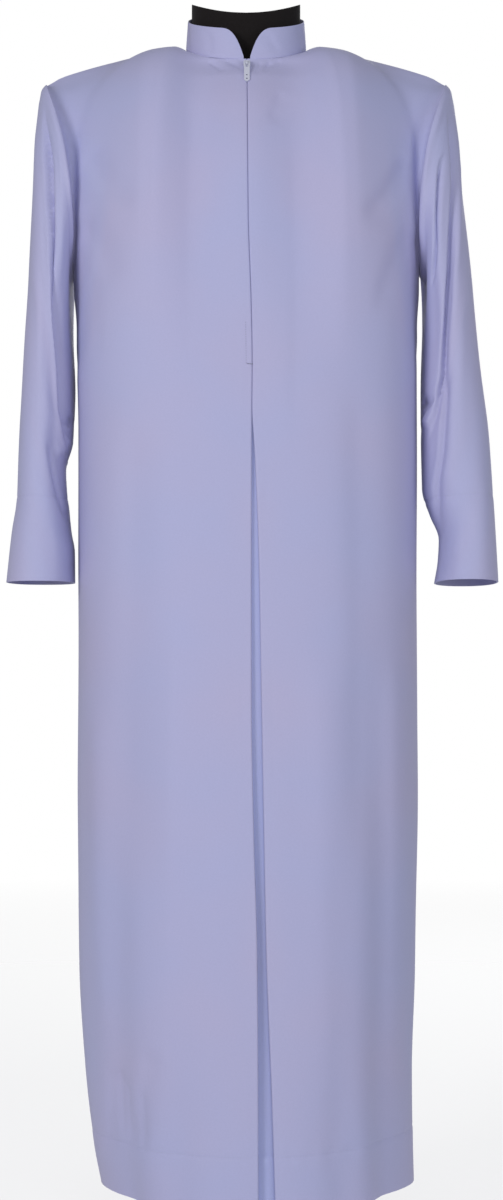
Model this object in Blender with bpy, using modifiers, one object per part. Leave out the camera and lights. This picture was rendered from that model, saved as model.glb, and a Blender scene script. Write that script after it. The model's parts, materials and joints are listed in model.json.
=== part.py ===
"""A long white alb with a stand collar and front zip, worn on a limbless dress form.

Units are metres and +Z is up. The front faces -Y, and the wearer's left side is at +X. The origin is
on the floor under the middle of the stand. Every cloth piece is a wall of one thickness through
points worked out from the garment's sizes; pieces meet edge to edge with a small seam gap.
"""
import math

import bmesh
import bpy
import numpy as np

LEFT, RIGHT = 1.0, -1.0

# Cloth
WALL = 0.0015
SEAM_GAP = 0.0003
FOLD_RADIUS = 0.0012
FOLD_NOSE = 0.0010
SHARP_ANGLE = 40.0

# Heights of the garment's main levels
HEM_Z = 0.120
YOKE_Z = 1.060
UNDERARM_Z = 1.194
ZIP_END_Z = 1.067
NECK_FRONT_Z = 1.4343
NECK_RISE = 0.0497

# Neck seam and shoulder seam
NECK_HALF_WIDTH = 0.0715
NECK_HALF_DEPTH = 0.0660
NECK_Y = 0.003
SHOULDER_TIP_X = 0.243
SHOULDER_TIP_Z = 1.4216
SHOULDER_TIP_Y = 0.008
SHOULDER_POWER = 1.6

# Armhole
ARMHOLE_FRONT_DEPTH = 0.075
ARMHOLE_BACK_DEPTH = 0.078
ARMHOLE_BOW = 0.018
UNDERARM_X = 0.208

# Collar
COLLAR_HEIGHT = 0.036
COLLAR_LEAN = 0.0022
COLLAR_END_RUN = 0.030
COLLAR_END_HEIGHT = 0.003
COLLAR_SEAM_GAP = 0.0009
COLLAR_ROWS = 4
MITRE_FLOOR = 0.6

# Pleat and zip
PLEAT_RETURN = 0.042
ZIP_RETURN = 0.014
PLEAT_DEPTH_AT_HEM = 0.012
UNDERLAY_COLUMNS = 7
UNDERLAY_EASE = 0.0003
TAPE_TOP_GAP = 0.003
TAPE_WALL = 0.0008
TAPE_HALF_WIDTH = 0.013
TAPE_COLUMNS = 4

# Sleeves. A range runs over parts of the way from the armhole (0) to the cuff (1).
CUFF_Z = 0.8204
SLEEVE_HEAD_EASE = 0.0017
SLEEVE_BOXINESS = 0.12
SLEEVE_BOXY_RANGE = (0.1, 0.5)
SLEEVE_TILT_RANGE = (0.1, 0.9)
SLEEVE_BOW_END = 0.35
SLEEVE_BACK_END = 0.2
SLEEVE_CROWN_END = 0.15
TROUGH_ROUNDNESS = 0.7
HEAD_BESIDE_RANGE = (-0.8, 0.5)

# Exponent of the body's oval over the chest, and how much less it is at the hem
BODY_SQUARENESS = 2.6
HEM_ROUNDING = 0.3

# Body half widths, from the silhouette, and the depth of the front and back lines
BODY = (
    # z, half width right, half width left, front line y, back line y
    (0.120, 0.1700, 0.1960, -0.2120, 0.2050),
    (0.160, 0.1780, 0.1950, -0.2090, 0.2010),
    (0.250, 0.1890, 0.1945, -0.2030, 0.1920),
    (0.370, 0.1965, 0.1985, -0.1950, 0.1810),
    (0.600, 0.1995, 0.2035, -0.1790, 0.1600),
    (0.860, 0.1995, 0.2035, -0.1580, 0.1380),
    (1.000, 0.1995, 0.2035, -0.1460, 0.1290),
    (1.060, 0.2010, 0.2035, -0.1420, 0.1270),
    (1.194, 0.2080, 0.2080, -0.1320, 0.1250),
    (1.250, 0.2080, 0.2080, -0.1270, 0.1240),
    (1.310, 0.2080, 0.2080, -0.1190, 0.1210),
    (1.370, 0.2080, 0.2080, -0.1020, 0.1150),
    (1.410, 0.2080, 0.2080, -0.0815, 0.1050),
    (1.4343, 0.2080, 0.2080, -0.0630, 0.0960),
    (1.4840, 0.2080, 0.2080, -0.0630, 0.0690),
)

# Edges of the two fronts where they meet at the zip and part along the pleat
FRONT_EDGES = (
    # z, edge of the right front, edge of the left front
    (0.120, 0.0143, 0.0332),
    (0.250, 0.0141, 0.0290),
    (0.400, 0.0131, 0.0233),
    (0.550, 0.0090, 0.0203),
    (0.688, 0.0067, 0.0178),
    (0.853, 0.0066, 0.0147),
    (0.960, 0.0068, 0.0106),
    (1.022, 0.00695, 0.00725),
    (1.067, 0.00735, 0.00765),
    (1.140, 0.00615, 0.00645),
    (1.240, 0.00285, 0.00315),
    (1.380, 0.00165, 0.00195),
    (1.4343, 0.00105, 0.00135),
)

# Soft folds that grow toward the hem. Turns run round the body from centre front toward the left side.
FOLDS = (
    # turn at hem, turn where it fades, depth (out is positive), half width in degrees, fade height
    (28.0, 24.0, -0.004, 8.0, 0.75),
    (52.0, 46.0, -0.008, 9.0, 0.95),
    (74.0, 80.0, 0.005, 8.0, 0.90),
    (99.0, 94.0, -0.013, 9.0, 1.05),
    (118.0, 113.0, 0.007, 8.0, 0.90),
    (137.0, 131.0, -0.016, 10.0, 1.10),
    (158.0, 160.0, 0.007, 9.0, 0.80),
    (179.0, 177.0, -0.015, 11.0, 1.12),
    (203.0, 205.0, 0.006, 10.0, 1.00),
    (225.0, 222.0, -0.016, 10.0, 1.10),
    (246.0, 250.0, 0.007, 9.0, 0.90),
    (263.0, 267.0, -0.012, 8.0, 1.05),
    (286.0, 280.0, 0.004, 8.0, 0.85),
    (308.0, 314.0, -0.008, 9.0, 0.95),
    (333.0, 337.0, -0.004, 8.0, 0.80),
)

# Silhouette of each sleeve from the front, and its depth from the side
SLEEVE_LEFT = (
    # part of the way to the cuff, outer x, inner x, middle y, half depth
    (0.00, 0.2430, 0.2080, 0.003, 0.0750),
    (0.05, 0.2488, 0.2165, 0.001, 0.0755),
    (0.20, 0.2568, 0.2125, -0.004, 0.0750),
    (0.40, 0.2685, 0.2095, -0.012, 0.0700),
    (0.55, 0.2773, 0.2090, -0.018, 0.0660),
    (0.70, 0.2866, 0.2095, -0.025, 0.0620),
    (0.78, 0.2900, 0.2185, -0.029, 0.0600),
    (0.86, 0.2926, 0.2300, -0.032, 0.0600),
    (0.93, 0.2945, 0.2285, -0.035, 0.0620),
    (1.00, 0.2965, 0.2240, -0.037, 0.0640),
)
SLEEVE_RIGHT = (
    # part of the way to the cuff, outer x, inner x, middle y, half depth
    (0.00, 0.2430, 0.2080, 0.003, 0.0750),
    (0.05, 0.2482, 0.2105, 0.001, 0.0755),
    (0.20, 0.2533, 0.2085, -0.003, 0.0750),
    (0.40, 0.2590, 0.2050, -0.009, 0.0700),
    (0.55, 0.2640, 0.2065, -0.014, 0.0660),
    (0.64, 0.2662, 0.2145, -0.017, 0.0620),
    (0.74, 0.2690, 0.2122, -0.020, 0.0600),
    (0.84, 0.2710, 0.2085, -0.023, 0.0600),
    (0.90, 0.2762, 0.2045, -0.025, 0.0620),
    (1.00, 0.2825, 0.2040, -0.027, 0.0650),
)
SLEEVE_TILT = {LEFT: 0.060, RIGHT: 0.030}
SLEEVE_ROWS = (0.0, 0.02, 0.05, 0.09, 0.14, 0.2, 0.26, 0.32, 0.38, 0.44, 0.5, 0.56, 0.62, 0.67,
               0.72, 0.77, 0.82, 0.87, 0.91, 0.95, 1.0)

# Long soft troughs of the hanging sleeves. Turns run from the shoulder through the front.
SLEEVE_TROUGHS = {
    LEFT: (
        # turn at start, turn at end, start, end, depth, half width in degrees
        (60.0, 150.0, 0.10, 0.76, 0.0060, 20.0),
        (110.0, 128.0, 0.05, 0.45, 0.0040, 14.0),
        (250.0, 215.0, 0.08, 0.80, 0.0055, 22.0),
        (300.0, 310.0, 0.15, 0.60, 0.0035, 18.0),
    ),
    RIGHT: (
        (45.0, 150.0, 0.08, 0.80, 0.0060, 20.0),
        (115.0, 125.0, 0.06, 0.40, 0.0035, 14.0),
        (255.0, 205.0, 0.08, 0.76, 0.0055, 22.0),
        (305.0, 315.0, 0.20, 0.65, 0.0035, 18.0),
    ),
}

# Dress form, from the flat cut under the hips to the neck
FORM = (
    # z, half width, front depth, back depth, squareness, forward slope
    (0.700, 0.150, 0.098, 0.112, 2.2, 0.00),
    (0.720, 0.158, 0.104, 0.118, 2.2, 0.00),
    (0.800, 0.166, 0.108, 0.122, 2.3, 0.00),
    (0.880, 0.160, 0.102, 0.114, 2.3, 0.00),
    (0.980, 0.144, 0.096, 0.098, 2.3, 0.00),
    (1.060, 0.146, 0.101, 0.096, 2.3, 0.00),
    (1.150, 0.158, 0.110, 0.100, 2.3, 0.00),
    (1.230, 0.170, 0.112, 0.104, 2.3, 0.00),
    (1.300, 0.184, 0.104, 0.104, 2.3, 0.00),
    (1.350, 0.198, 0.090, 0.098, 2.2, 0.00),
    (1.385, 0.208, 0.074, 0.086, 2.0, 0.00),
    (1.410, 0.212, 0.056, 0.066, 1.7, 0.05),
    (1.4270, 0.205, 0.046, 0.052, 1.3, 0.12),
    (1.4380, 0.1850, 0.044, 0.046, 1.2, 0.22),
    (1.4445, 0.1565, 0.044, 0.038, 1.2, 0.32),
    (1.4512, 0.1280, 0.045, 0.037, 1.2, 0.38),
    (1.4558, 0.0880, 0.046, 0.038, 1.3, 0.42),
    (1.4575, 0.0660, 0.0475, 0.0430, 1.9, 0.42),
    (1.4650, 0.0655, 0.0490, 0.0520, 2.0, 0.40),
    (1.4800, 0.0655, 0.0500, 0.0550, 2.0, 0.34),
)
FORM_SIDES = 36
NECK_TOP_Z = 1.5055
NECK_TOP_SLOPE = 0.2583
NECK_TOP_DISH = 0.010

# Stand
POLE_RADIUS = 0.016
FLANGE_RADIUS = 0.045
FLANGE_THICKNESS = 0.008
FLANGE_CONE = 0.012
BASE_RADIUS = 0.185
BASE_THICKNESS = 0.012
BASE_CHAMFER = 0.005
HUB_RADIUS = 0.034
HUB_HEIGHT = 0.030
HUB_CHAMFER = 0.006
HUB_FOOT_RISE = 0.004
HUB_FOOT_RUN = 0.010
ROUND_SIDES = 40

# Zip slider and pull tab. Distances down run along the slope of the fronts from the neck seam.
SLIDER_WIDTH = 0.0080
SLIDER_TOP_DOWN = 0.0060
SLIDER_LENGTH = 0.0095
SLIDER_THICKNESS = 0.0026
SLIDER_BEVEL = 0.0006
BRIDGE_WIDTH = 0.0016
BRIDGE_WIRE = 0.0010
BRIDGE_TOP_DOWN = 0.0090
BRIDGE_LENGTH = 0.0062
BRIDGE_CLEAR_HEIGHT = 0.0021
BRIDGE_CORNER = 0.0006
PULL_BAR = 0.0012
PULL_PIVOT_DOWN = 0.0130
PULL_PIVOT_RISE = 0.00115
PULL_WIDTH = 0.0066
PULL_LENGTH = 0.0275
PULL_THICKNESS = 0.0012
PULL_CORNER = 0.0012
PULL_WINDOW_WIDTH = 0.0032
PULL_WINDOW_LENGTH = 0.0050
PULL_HOLES_DOWN = (0.0180, 0.0235)
PULL_HOLE_RADIUS = 0.0010
PULL_HOLE_SIDES = 12
PULL_REST_TILT = 6.0

# Columns of the fronts and back: how far round the ring each lies, and what its top end meets
NECK_TURNS_FRONT = (0.0, 0.065, 0.15, 0.28, 0.52, 0.76, 1.0)
NECK_TURNS_BACK = (0.0, 0.25, 0.50, 0.75, 1.0)
NECK_SHARE = 0.38
SHOULDER_SHARE = 0.60
SHOULDER_COLUMNS = 3
ARMHOLE_SHARES = (0.622, 0.647, 0.674, 0.703, 0.755, 0.822, 0.905, 1.0)
ARMHOLE_COLUMNS = len(ARMHOLE_SHARES)
SKIRT_ROWS = 13
YOKE_ROWS = 10

# How a column bends between the yoke line and its seam: the power with which it swings sideways, the
# roundness with which it goes over the chest, and the column past which it no longer does
SWING_SHARES = (0.0, 0.38, 0.60, 0.70, 0.80, 1.0)
SWINGS = (1.5, 1.5, 1.2, 1.6, 2.2, 1.6)
YOKE_ROUNDNESS = 2.8
TOP_EDGE_LEAN = 1.0
ARCH_END_SHARE = 0.78


def track(rows, column):
    """Smooth curve through one column of a table, with the first column as its key."""
    table = np.array(rows, dtype=float)
    keys, values = table[:, 0], table[:, column]
    slopes = np.diff(values) / np.diff(keys)
    tangents = np.zeros(len(keys))
    tangents[0], tangents[-1] = slopes[0], slopes[-1]
    for i in range(1, len(keys) - 1):
        if slopes[i - 1] * slopes[i] > 0:
            tangents[i] = 2 * slopes[i - 1] * slopes[i] / (slopes[i - 1] + slopes[i])

    def at(key):
        key = min(max(key, keys[0]), keys[-1])
        i = min(int(np.searchsorted(keys, key, side="right")) - 1, len(keys) - 2)
        span = keys[i + 1] - keys[i]
        s = (key - keys[i]) / span
        rise = values[i] * (1 + 2 * s) * (1 - s) ** 2 + values[i + 1] * s * s * (3 - 2 * s)
        bend = tangents[i] * s * (1 - s) ** 2 - tangents[i + 1] * s * s * (1 - s)
        return rise + bend * span

    return at


half_width = {RIGHT: track(BODY, 1), LEFT: track(BODY, 2)}
front_line = track(BODY, 3)
back_line = track(BODY, 4)
front_edge = {RIGHT: track(FRONT_EDGES, 1), LEFT: track(FRONT_EDGES, 2)}


def smoothstep(value, start, end):
    """0 before start, 1 after end, and a soft ramp between."""
    s = min(max((value - start) / (end - start), 0.0), 1.0)
    return s * s * (3 - 2 * s)


def unit(vectors):
    """Vectors scaled to length one along the last axis."""
    return vectors / np.maximum(np.linalg.norm(vectors, axis=-1, keepdims=True), 1e-12)


def squareness(z):
    """Exponent of the body's oval: squarer over the chest, rounder at the hem."""
    return BODY_SQUARENESS - HEM_ROUNDING * smoothstep(UNDERARM_Z - z, 0.0, UNDERARM_Z - HEM_Z)


def fold_depth(turn, z):
    """Outward depth of the skirt's soft folds at a turn (degrees) and height."""
    depth = 0.0
    for hem_turn, top_turn, height, width, top in FOLDS:
        grown = smoothstep(top - z, 0.0, top - HEM_Z)
        middle = hem_turn + (top_turn - hem_turn) * (z - HEM_Z) / (top - HEM_Z)
        apart = (turn - middle + 180.0) % 360.0 - 180.0
        depth += height * grown * math.exp(-(apart / width) ** 2)
    return depth


def oval_point(x, half, depth, power, z, turn):
    """Point of a horizontal oval at x, moved out by the folds there."""
    share = min(abs(x / half), 1.0)
    y = depth * (1 - share ** power) ** (1 / power)
    outward = unit(np.array([math.copysign(share ** (power - 1), x) / half,
                             math.copysign(abs(y / depth) ** (power - 1), y) / abs(depth)]))
    out = fold_depth(turn, z)
    return np.array([x + outward[0] * out, y + outward[1] * out, z])


def fold_line_x(side, z):
    """Middle of the front's wall where it starts to turn back at the zip or pleat edge."""
    return front_edge[side](z) + side * (FOLD_NOSE + WALL / 2)


def front_skirt_point(side, share, z):
    """Point of a front below the yoke line; share 0 is the front edge and 1 the side seam."""
    start = fold_line_x(side, z)
    half = half_width[side](z)
    x = start + (side * half - start) * math.sin(share * math.pi / 2)
    return oval_point(x, half, front_line(z), squareness(z), z, side * share * 90.0)


def back_skirt_point(side, share, z):
    """Point of the back below the yoke line; share 0 is centre back and 1 the side seam."""
    half = half_width[side](z)
    x = side * half * math.sin(share * math.pi / 2)
    return oval_point(x, half, back_line(z), squareness(z), z, side * (180.0 - share * 90.0))


def neck_point(turn):
    """Point of the neck seam; turn 0 is centre front, 180 centre back, positive to the left."""
    angle = math.radians(turn)
    return np.array([NECK_HALF_WIDTH * math.sin(angle),
                     NECK_Y - NECK_HALF_DEPTH * math.cos(angle),
                     NECK_FRONT_Z + NECK_RISE * (1 - math.cos(angle)) / 2])


def shoulder_point(side, share):
    """Point of the shoulder seam from the neck (0) to the tip (1)."""
    start = neck_point(90.0)
    drop = (start[2] - SHOULDER_TIP_Z) * share ** SHOULDER_POWER
    return np.array([side * (start[0] + (SHOULDER_TIP_X - start[0]) * share),
                     start[1] + (SHOULDER_TIP_Y - start[1]) * share,
                     start[2] - drop])


def armhole_point(side, turn):
    """Point of the armhole seam; turn 0 is the shoulder tip, 90 the front, 180 the underarm."""
    angle = math.radians(turn)
    across = math.sin(angle)
    up = math.cos(angle)
    depth = ARMHOLE_FRONT_DEPTH if across > 0 else ARMHOLE_BACK_DEPTH
    middle_y = SHOULDER_TIP_Y * (1 + up) / 2
    x = (SHOULDER_TIP_X + UNDERARM_X) / 2 + (SHOULDER_TIP_X - UNDERARM_X) / 2 * up
    return np.array([side * (x - ARMHOLE_BOW * across ** 2),
                     middle_y - depth * across,
                     (SHOULDER_TIP_Z + UNDERARM_Z) / 2 + (SHOULDER_TIP_Z - UNDERARM_Z) / 2 * up])


def column_shares(neck_turns):
    """Shares round the ring of a panel's columns, from its middle to its side seam."""
    neck = [NECK_SHARE * turn for turn in neck_turns]
    step = (SHOULDER_SHARE - NECK_SHARE) / SHOULDER_COLUMNS
    shoulder = [NECK_SHARE + step * (i + 1) for i in range(SHOULDER_COLUMNS)]
    return neck + shoulder + list(ARMHOLE_SHARES)


def top_point(side, share, is_front):
    """Where a column ends above: on the neck seam, the shoulder seam or the armhole."""
    if share <= NECK_SHARE:
        part = share / NECK_SHARE
        if is_front:
            first = math.degrees(math.asin(fold_line_x(side, NECK_FRONT_Z) * side / NECK_HALF_WIDTH))
            return neck_point(side * (first + (90.0 - first) * part))
        return neck_point(side * (180.0 - 90.0 * part))
    if share <= SHOULDER_SHARE:
        return shoulder_point(side, (share - NECK_SHARE) / (SHOULDER_SHARE - NECK_SHARE))
    shares = (SHOULDER_SHARE,) + ARMHOLE_SHARES
    turn = float(np.interp(share, shares, np.linspace(0.0, 180.0, len(shares))))
    return armhole_point(side, turn if is_front else 360.0 - turn)


def yoke_column(side, share, is_front, rows):
    """One column from the yoke line up to its seam, bending over the chest or shoulder blade."""
    bottom = (front_skirt_point if is_front else back_skirt_point)(side, share, YOKE_Z)
    top = top_point(side, share, is_front)
    line = front_line if is_front else back_line
    arched = smoothstep(share, 0.0, NECK_SHARE) * (1 - smoothstep(share, SHOULDER_SHARE, ARCH_END_SHARE))
    on_line = 1 - smoothstep(share, 0.0, NECK_SHARE)
    swing = float(np.interp(share, SWING_SHARES, SWINGS))
    points = []
    for i in range(1, rows + 1):
        flat = i / rows
        rise = flat + (math.sin(flat * math.pi / 2) - flat) * arched
        z = bottom[2] + (top[2] - bottom[2]) * rise
        over_top = 1 - (1 - rise ** YOKE_ROUNDNESS) ** (1 / YOKE_ROUNDNESS)
        along_line = (line(z) - line(bottom[2])) / (line(top[2]) - line(bottom[2]))
        inward = rise + (over_top - rise) * arched
        inward = inward + (along_line - inward) * on_line
        points.append(np.array([bottom[0] + (top[0] - bottom[0]) * inward ** swing,
                                bottom[1] + (top[1] - bottom[1]) * inward, z]))
    return points


def panel_points(side, is_front):
    """Grid of mid-wall points of half a body panel: rows from the hem up, columns to the side seam."""
    shares = column_shares(NECK_TURNS_FRONT if is_front else NECK_TURNS_BACK)
    skirt = front_skirt_point if is_front else back_skirt_point
    levels = [HEM_Z + (YOKE_Z - HEM_Z) * i / SKIRT_ROWS for i in range(SKIRT_ROWS + 1)]
    columns = []
    for share in shares:
        column = [skirt(side, share, z) for z in levels]
        columns.append(column + yoke_column(side, share, is_front, YOKE_ROWS))
    return np.array(columns).transpose(1, 0, 2)


def pleat_width(z):
    """Width of a front's turned-back return: deep in the pleat, narrow behind the zip."""
    return ZIP_RETURN + (PLEAT_RETURN - ZIP_RETURN) * smoothstep(ZIP_END_Z + 0.01 - z, 0.0, 0.05)


def pleat_depth(z):
    """How far the pleat's inner fold lies behind its outer fold."""
    return PLEAT_DEPTH_AT_HEM * smoothstep(ZIP_END_Z - z, 0.0, ZIP_END_Z - HEM_Z)


def surface_point(grid_row, x):
    """Point of a front's own surface at x on one grid row, read between its columns."""
    order = np.argsort(grid_row[:, 0])
    return np.array([x] + [float(np.interp(x, grid_row[order, 0], grid_row[order, axis]))
                           for axis in (1, 2)])


def inward_directions(normals):
    """Direction into the body at each row of a front's edge, with no sideways part."""
    return -unit(normals[:, 0] * [0.0, 1.0, 1.0])


def with_return(grid, inward, side):
    """Front grid with the columns of its turned-back return added before the first column."""
    rows = []
    for row, inner in zip(grid, inward):
        edge = row[0]
        width = pleat_width(edge[2])
        deeper = pleat_depth(edge[2])
        added = []
        for part in (1.0, 0.5):
            point = surface_point(row, edge[0] + side * width * part)
            added.append(point + inner * (2 * FOLD_RADIUS + deeper * part))
        added.append(edge + inner * 2 * FOLD_RADIUS)
        added.append(edge + inner * FOLD_RADIUS + [-side * FOLD_NOSE, 0.0, 0.0])
        rows.append(np.vstack([added, row]))
    return np.array(rows)


def grid_normals(grid, loop=False):
    """Unit normals of a grid of points, from its neighbours along both ways."""
    up = np.gradient(grid, axis=0)
    if loop:
        along = (np.roll(grid, -1, axis=1) - np.roll(grid, 1, axis=1)) / 2
    else:
        along = np.gradient(grid, axis=1)
    return unit(np.cross(unit(along), unit(up)))


def step_back(edge, inner, gap, loop=False):
    """Edge points moved toward the inner row, square to the edge, by half of the seam gap."""
    if loop:
        tangent = unit(np.roll(edge, -1, axis=0) - np.roll(edge, 1, axis=0))
    else:
        tangent = unit(np.gradient(edge, axis=0))
    inward = inner - edge
    inward = unit(inward - tangent * np.sum(inward * tangent, axis=1, keepdims=True))
    return edge + inward * gap / 2


def new_object(name, bm, material):
    """Object from a bmesh, with faces pointing out, in the part's collection."""
    bmesh.ops.recalc_face_normals(bm, faces=bm.faces)
    if bm.calc_volume(signed=True) < 0:
        bmesh.ops.reverse_faces(bm, faces=bm.faces)
    mesh = bpy.data.meshes.new(name)
    bm.to_mesh(mesh)
    bm.free()
    mesh.materials.append(material)
    mesh.shade_smooth()
    mesh.set_sharp_from_angle(angle=math.radians(SHARP_ANGLE))
    made = bpy.data.objects.new(name, mesh)
    COLLECTION.objects.link(made)
    return made


def wall(name, grid, normals, material, loop=False, thickness=WALL):
    """Closed wall of cloth through a grid of mid-wall points."""
    rows, columns = grid.shape[:2]
    bm = bmesh.new()
    faces = [[[bm.verts.new(grid[r, c] + normals[r, c] * offset) for c in range(columns)]
              for r in range(rows)] for offset in (thickness / 2, -thickness / 2)]
    outer, inner = faces
    last = columns if loop else columns - 1
    for r in range(rows - 1):
        for c in range(last):
            n = (c + 1) % columns
            bm.faces.new((outer[r][c], outer[r][n], outer[r + 1][n], outer[r + 1][c]))
            bm.faces.new((inner[r][c], inner[r + 1][c], inner[r + 1][n], inner[r][n]))
    for c in range(last):
        n = (c + 1) % columns
        bm.faces.new((outer[0][n], outer[0][c], inner[0][c], inner[0][n]))
        bm.faces.new((outer[-1][c], outer[-1][n], inner[-1][n], inner[-1][c]))
    if not loop:
        for r in range(rows - 1):
            bm.faces.new((outer[r][0], outer[r + 1][0], inner[r + 1][0], inner[r][0]))
            bm.faces.new((outer[r + 1][-1], outer[r][-1], inner[r][-1], inner[r + 1][-1]))
    return new_object(name, bm, material)


def outward_from_axis(grid, normals, axis_x=0.0, axis_y=0.0):
    """Normals turned, as one, to point away from a vertical axis."""
    away = grid - np.array([axis_x, axis_y, 0.0])
    away[..., 2] = 0.0
    return normals if np.sum(away * normals) > 0 else -normals


class Body:
    """The body's panels as grids, with the seam normals that neighbours share."""

    def __init__(self):
        self.front = {}
        self.back = {}
        self.front_normals = {}
        self.back_normals = {}
        for side in (LEFT, RIGHT):
            self.front[side] = panel_points(side, True)
            self.back[side] = panel_points(side, False)
            self.front_normals[side] = self.panel_normals(self.front[side])
            self.back_normals[side] = self.panel_normals(self.back[side])
            self.share_seams(side)

    def panel_normals(self, grid):
        """Outward normals of a panel; its slanting top edge leans on the row below for its own."""
        normals = outward_from_axis(grid, grid_normals(grid))
        normals[-1] = unit(normals[-1] + TOP_EDGE_LEAN * normals[-2])
        return normals

    def share_seams(self, side):
        """Give both panels one mean normal along the side seam and the shoulder seam."""
        front, back = self.front_normals[side], self.back_normals[side]
        mean = unit(front[:, -1] + back[:, -1])
        front[:, -1] = mean
        back[:, -1] = mean
        front_neck = len(NECK_TURNS_FRONT) - 1
        back_neck = len(NECK_TURNS_BACK) - 1
        for i in range(SHOULDER_COLUMNS + 1):
            mean = unit(front[-1, front_neck + i] + back[-1, back_neck + i])
            front[-1, front_neck + i] = mean
            back[-1, back_neck + i] = mean


def neck_samples():
    """Neck seam turns shared by the fronts, the back and the collar, round from the left front."""
    front = {}
    for side in (LEFT, RIGHT):
        first = math.degrees(math.asin(fold_line_x(side, NECK_FRONT_Z) * side / NECK_HALF_WIDTH))
        front[side] = [side * (first + (90.0 - first) * part) for part in NECK_TURNS_FRONT]
    back = [180.0 - 90.0 * part for part in NECK_TURNS_BACK]
    left = front[LEFT] + back[-2::-1]
    right = [360.0 - turn for turn in back[1:-1]] + [360.0 + turn for turn in front[RIGHT][::-1]]
    return left + right


def collar_height(run):
    """Height of the collar at a distance from its front end: a rounded corner, then level."""
    part = min(run / COLLAR_END_RUN, 1.0)
    return COLLAR_END_HEIGHT + (COLLAR_HEIGHT - COLLAR_END_HEIGHT) * (1 - (1 - part) ** 3)


def collar_grid():
    """Mid-wall points of the stand collar: rows from the neck seam up, columns from the left end."""
    turns = neck_samples()
    seam = np.array([neck_point(turn) for turn in turns])
    runs = np.concatenate([[0.0], np.cumsum(np.linalg.norm(np.diff(seam, axis=0), axis=1))])
    rows = []
    for part in np.linspace(0.0, 1.0, COLLAR_ROWS):
        row = []
        for point, run, turn in zip(seam, runs, turns):
            angle = math.radians(turn)
            inward = np.array([-math.sin(angle), math.cos(angle), 0.0])
            height = collar_height(min(run, runs[-1] - run)) * part
            lean = COLLAR_LEAN * height / COLLAR_HEIGHT
            row.append(point + inward * lean + [0.0, 0.0, height])
        rows.append(row)
    return np.array(rows)


def make_collar(body, material):
    """Stand collar on the neck seam; its lower edge shares the panels' seam normals."""
    grid = collar_grid()
    normals = outward_from_axis(grid, grid_normals(grid), 0.0, NECK_Y)
    front_neck = len(NECK_TURNS_FRONT)
    back_neck = len(NECK_TURNS_BACK)
    columns = grid.shape[1]
    for c in range(columns):
        side = LEFT if c < columns / 2 else RIGHT
        from_end = c if side == LEFT else columns - 1 - c
        if from_end < front_neck:
            panel, index = body.front_normals[side], from_end
        else:
            panel, index = body.back_normals[side], back_neck - 2 - (from_end - front_neck)
        mean = unit(panel[-1, index] + normals[0, c])
        mitre = 1 / max(float(np.dot(mean, normals[0, c])), MITRE_FLOOR)
        normals[0, c] = mean * mitre
        panel[-1, index] = mean * mitre
        if from_end == front_neck - 1:
            body.back_normals[side][-1, back_neck - 1] = mean * mitre
        if from_end == front_neck + back_neck - 2:
            body.back_normals[RIGHT][-1, 0] = mean * mitre
    grid[0] = step_back(grid[0], grid[1], COLLAR_SEAM_GAP)
    return wall("collar", grid, normals, material)


def make_front(body, side, name, material):
    """One front with its turned-back return, set back from its seams."""
    grid = body.front[side].copy()
    normals = body.front_normals[side]
    top = step_back(grid[-1], grid[-2], SEAM_GAP)
    seam = step_back(grid[:, -1], grid[:, -2], SEAM_GAP)
    grid[-1] = top
    grid[:, -1] += seam - body.front[side][:, -1]
    inward = inward_directions(normals)
    full = with_return(grid, inward, side)
    added = np.repeat(inward[:, None], full.shape[1] - grid.shape[1], axis=1)
    added[:, -1] = [-side, 0.0, 0.0]
    edge = -inward[:, None]
    edge[-1] = normals[-1, :1]
    return wall(name, full, np.concatenate([added, edge, normals[:, 1:]], axis=1), material)


def make_back(body, material):
    """The back in one piece, both halves joined at centre back."""
    halves = {}
    for side in (LEFT, RIGHT):
        grid = body.back[side].copy()
        top = step_back(grid[-1], grid[-2], SEAM_GAP)
        seam = step_back(grid[:, -1], grid[:, -2], SEAM_GAP)
        grid[-1] = top
        grid[:, -1] += seam - body.back[side][:, -1]
        halves[side] = grid
    grid = np.concatenate([halves[RIGHT][:, :0:-1], halves[LEFT]], axis=1)
    normals = np.concatenate([body.back_normals[RIGHT][:, :0:-1], body.back_normals[LEFT]], axis=1)
    middle = body.back_normals[RIGHT].shape[1] - 1
    mean = unit(body.back_normals[RIGHT][:, 0] + body.back_normals[LEFT][:, 0])
    lengths = np.linalg.norm(body.back_normals[LEFT][:, 0], axis=1, keepdims=True)
    normals[:, middle] = mean * lengths
    return wall("back", grid, normals, material)


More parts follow.
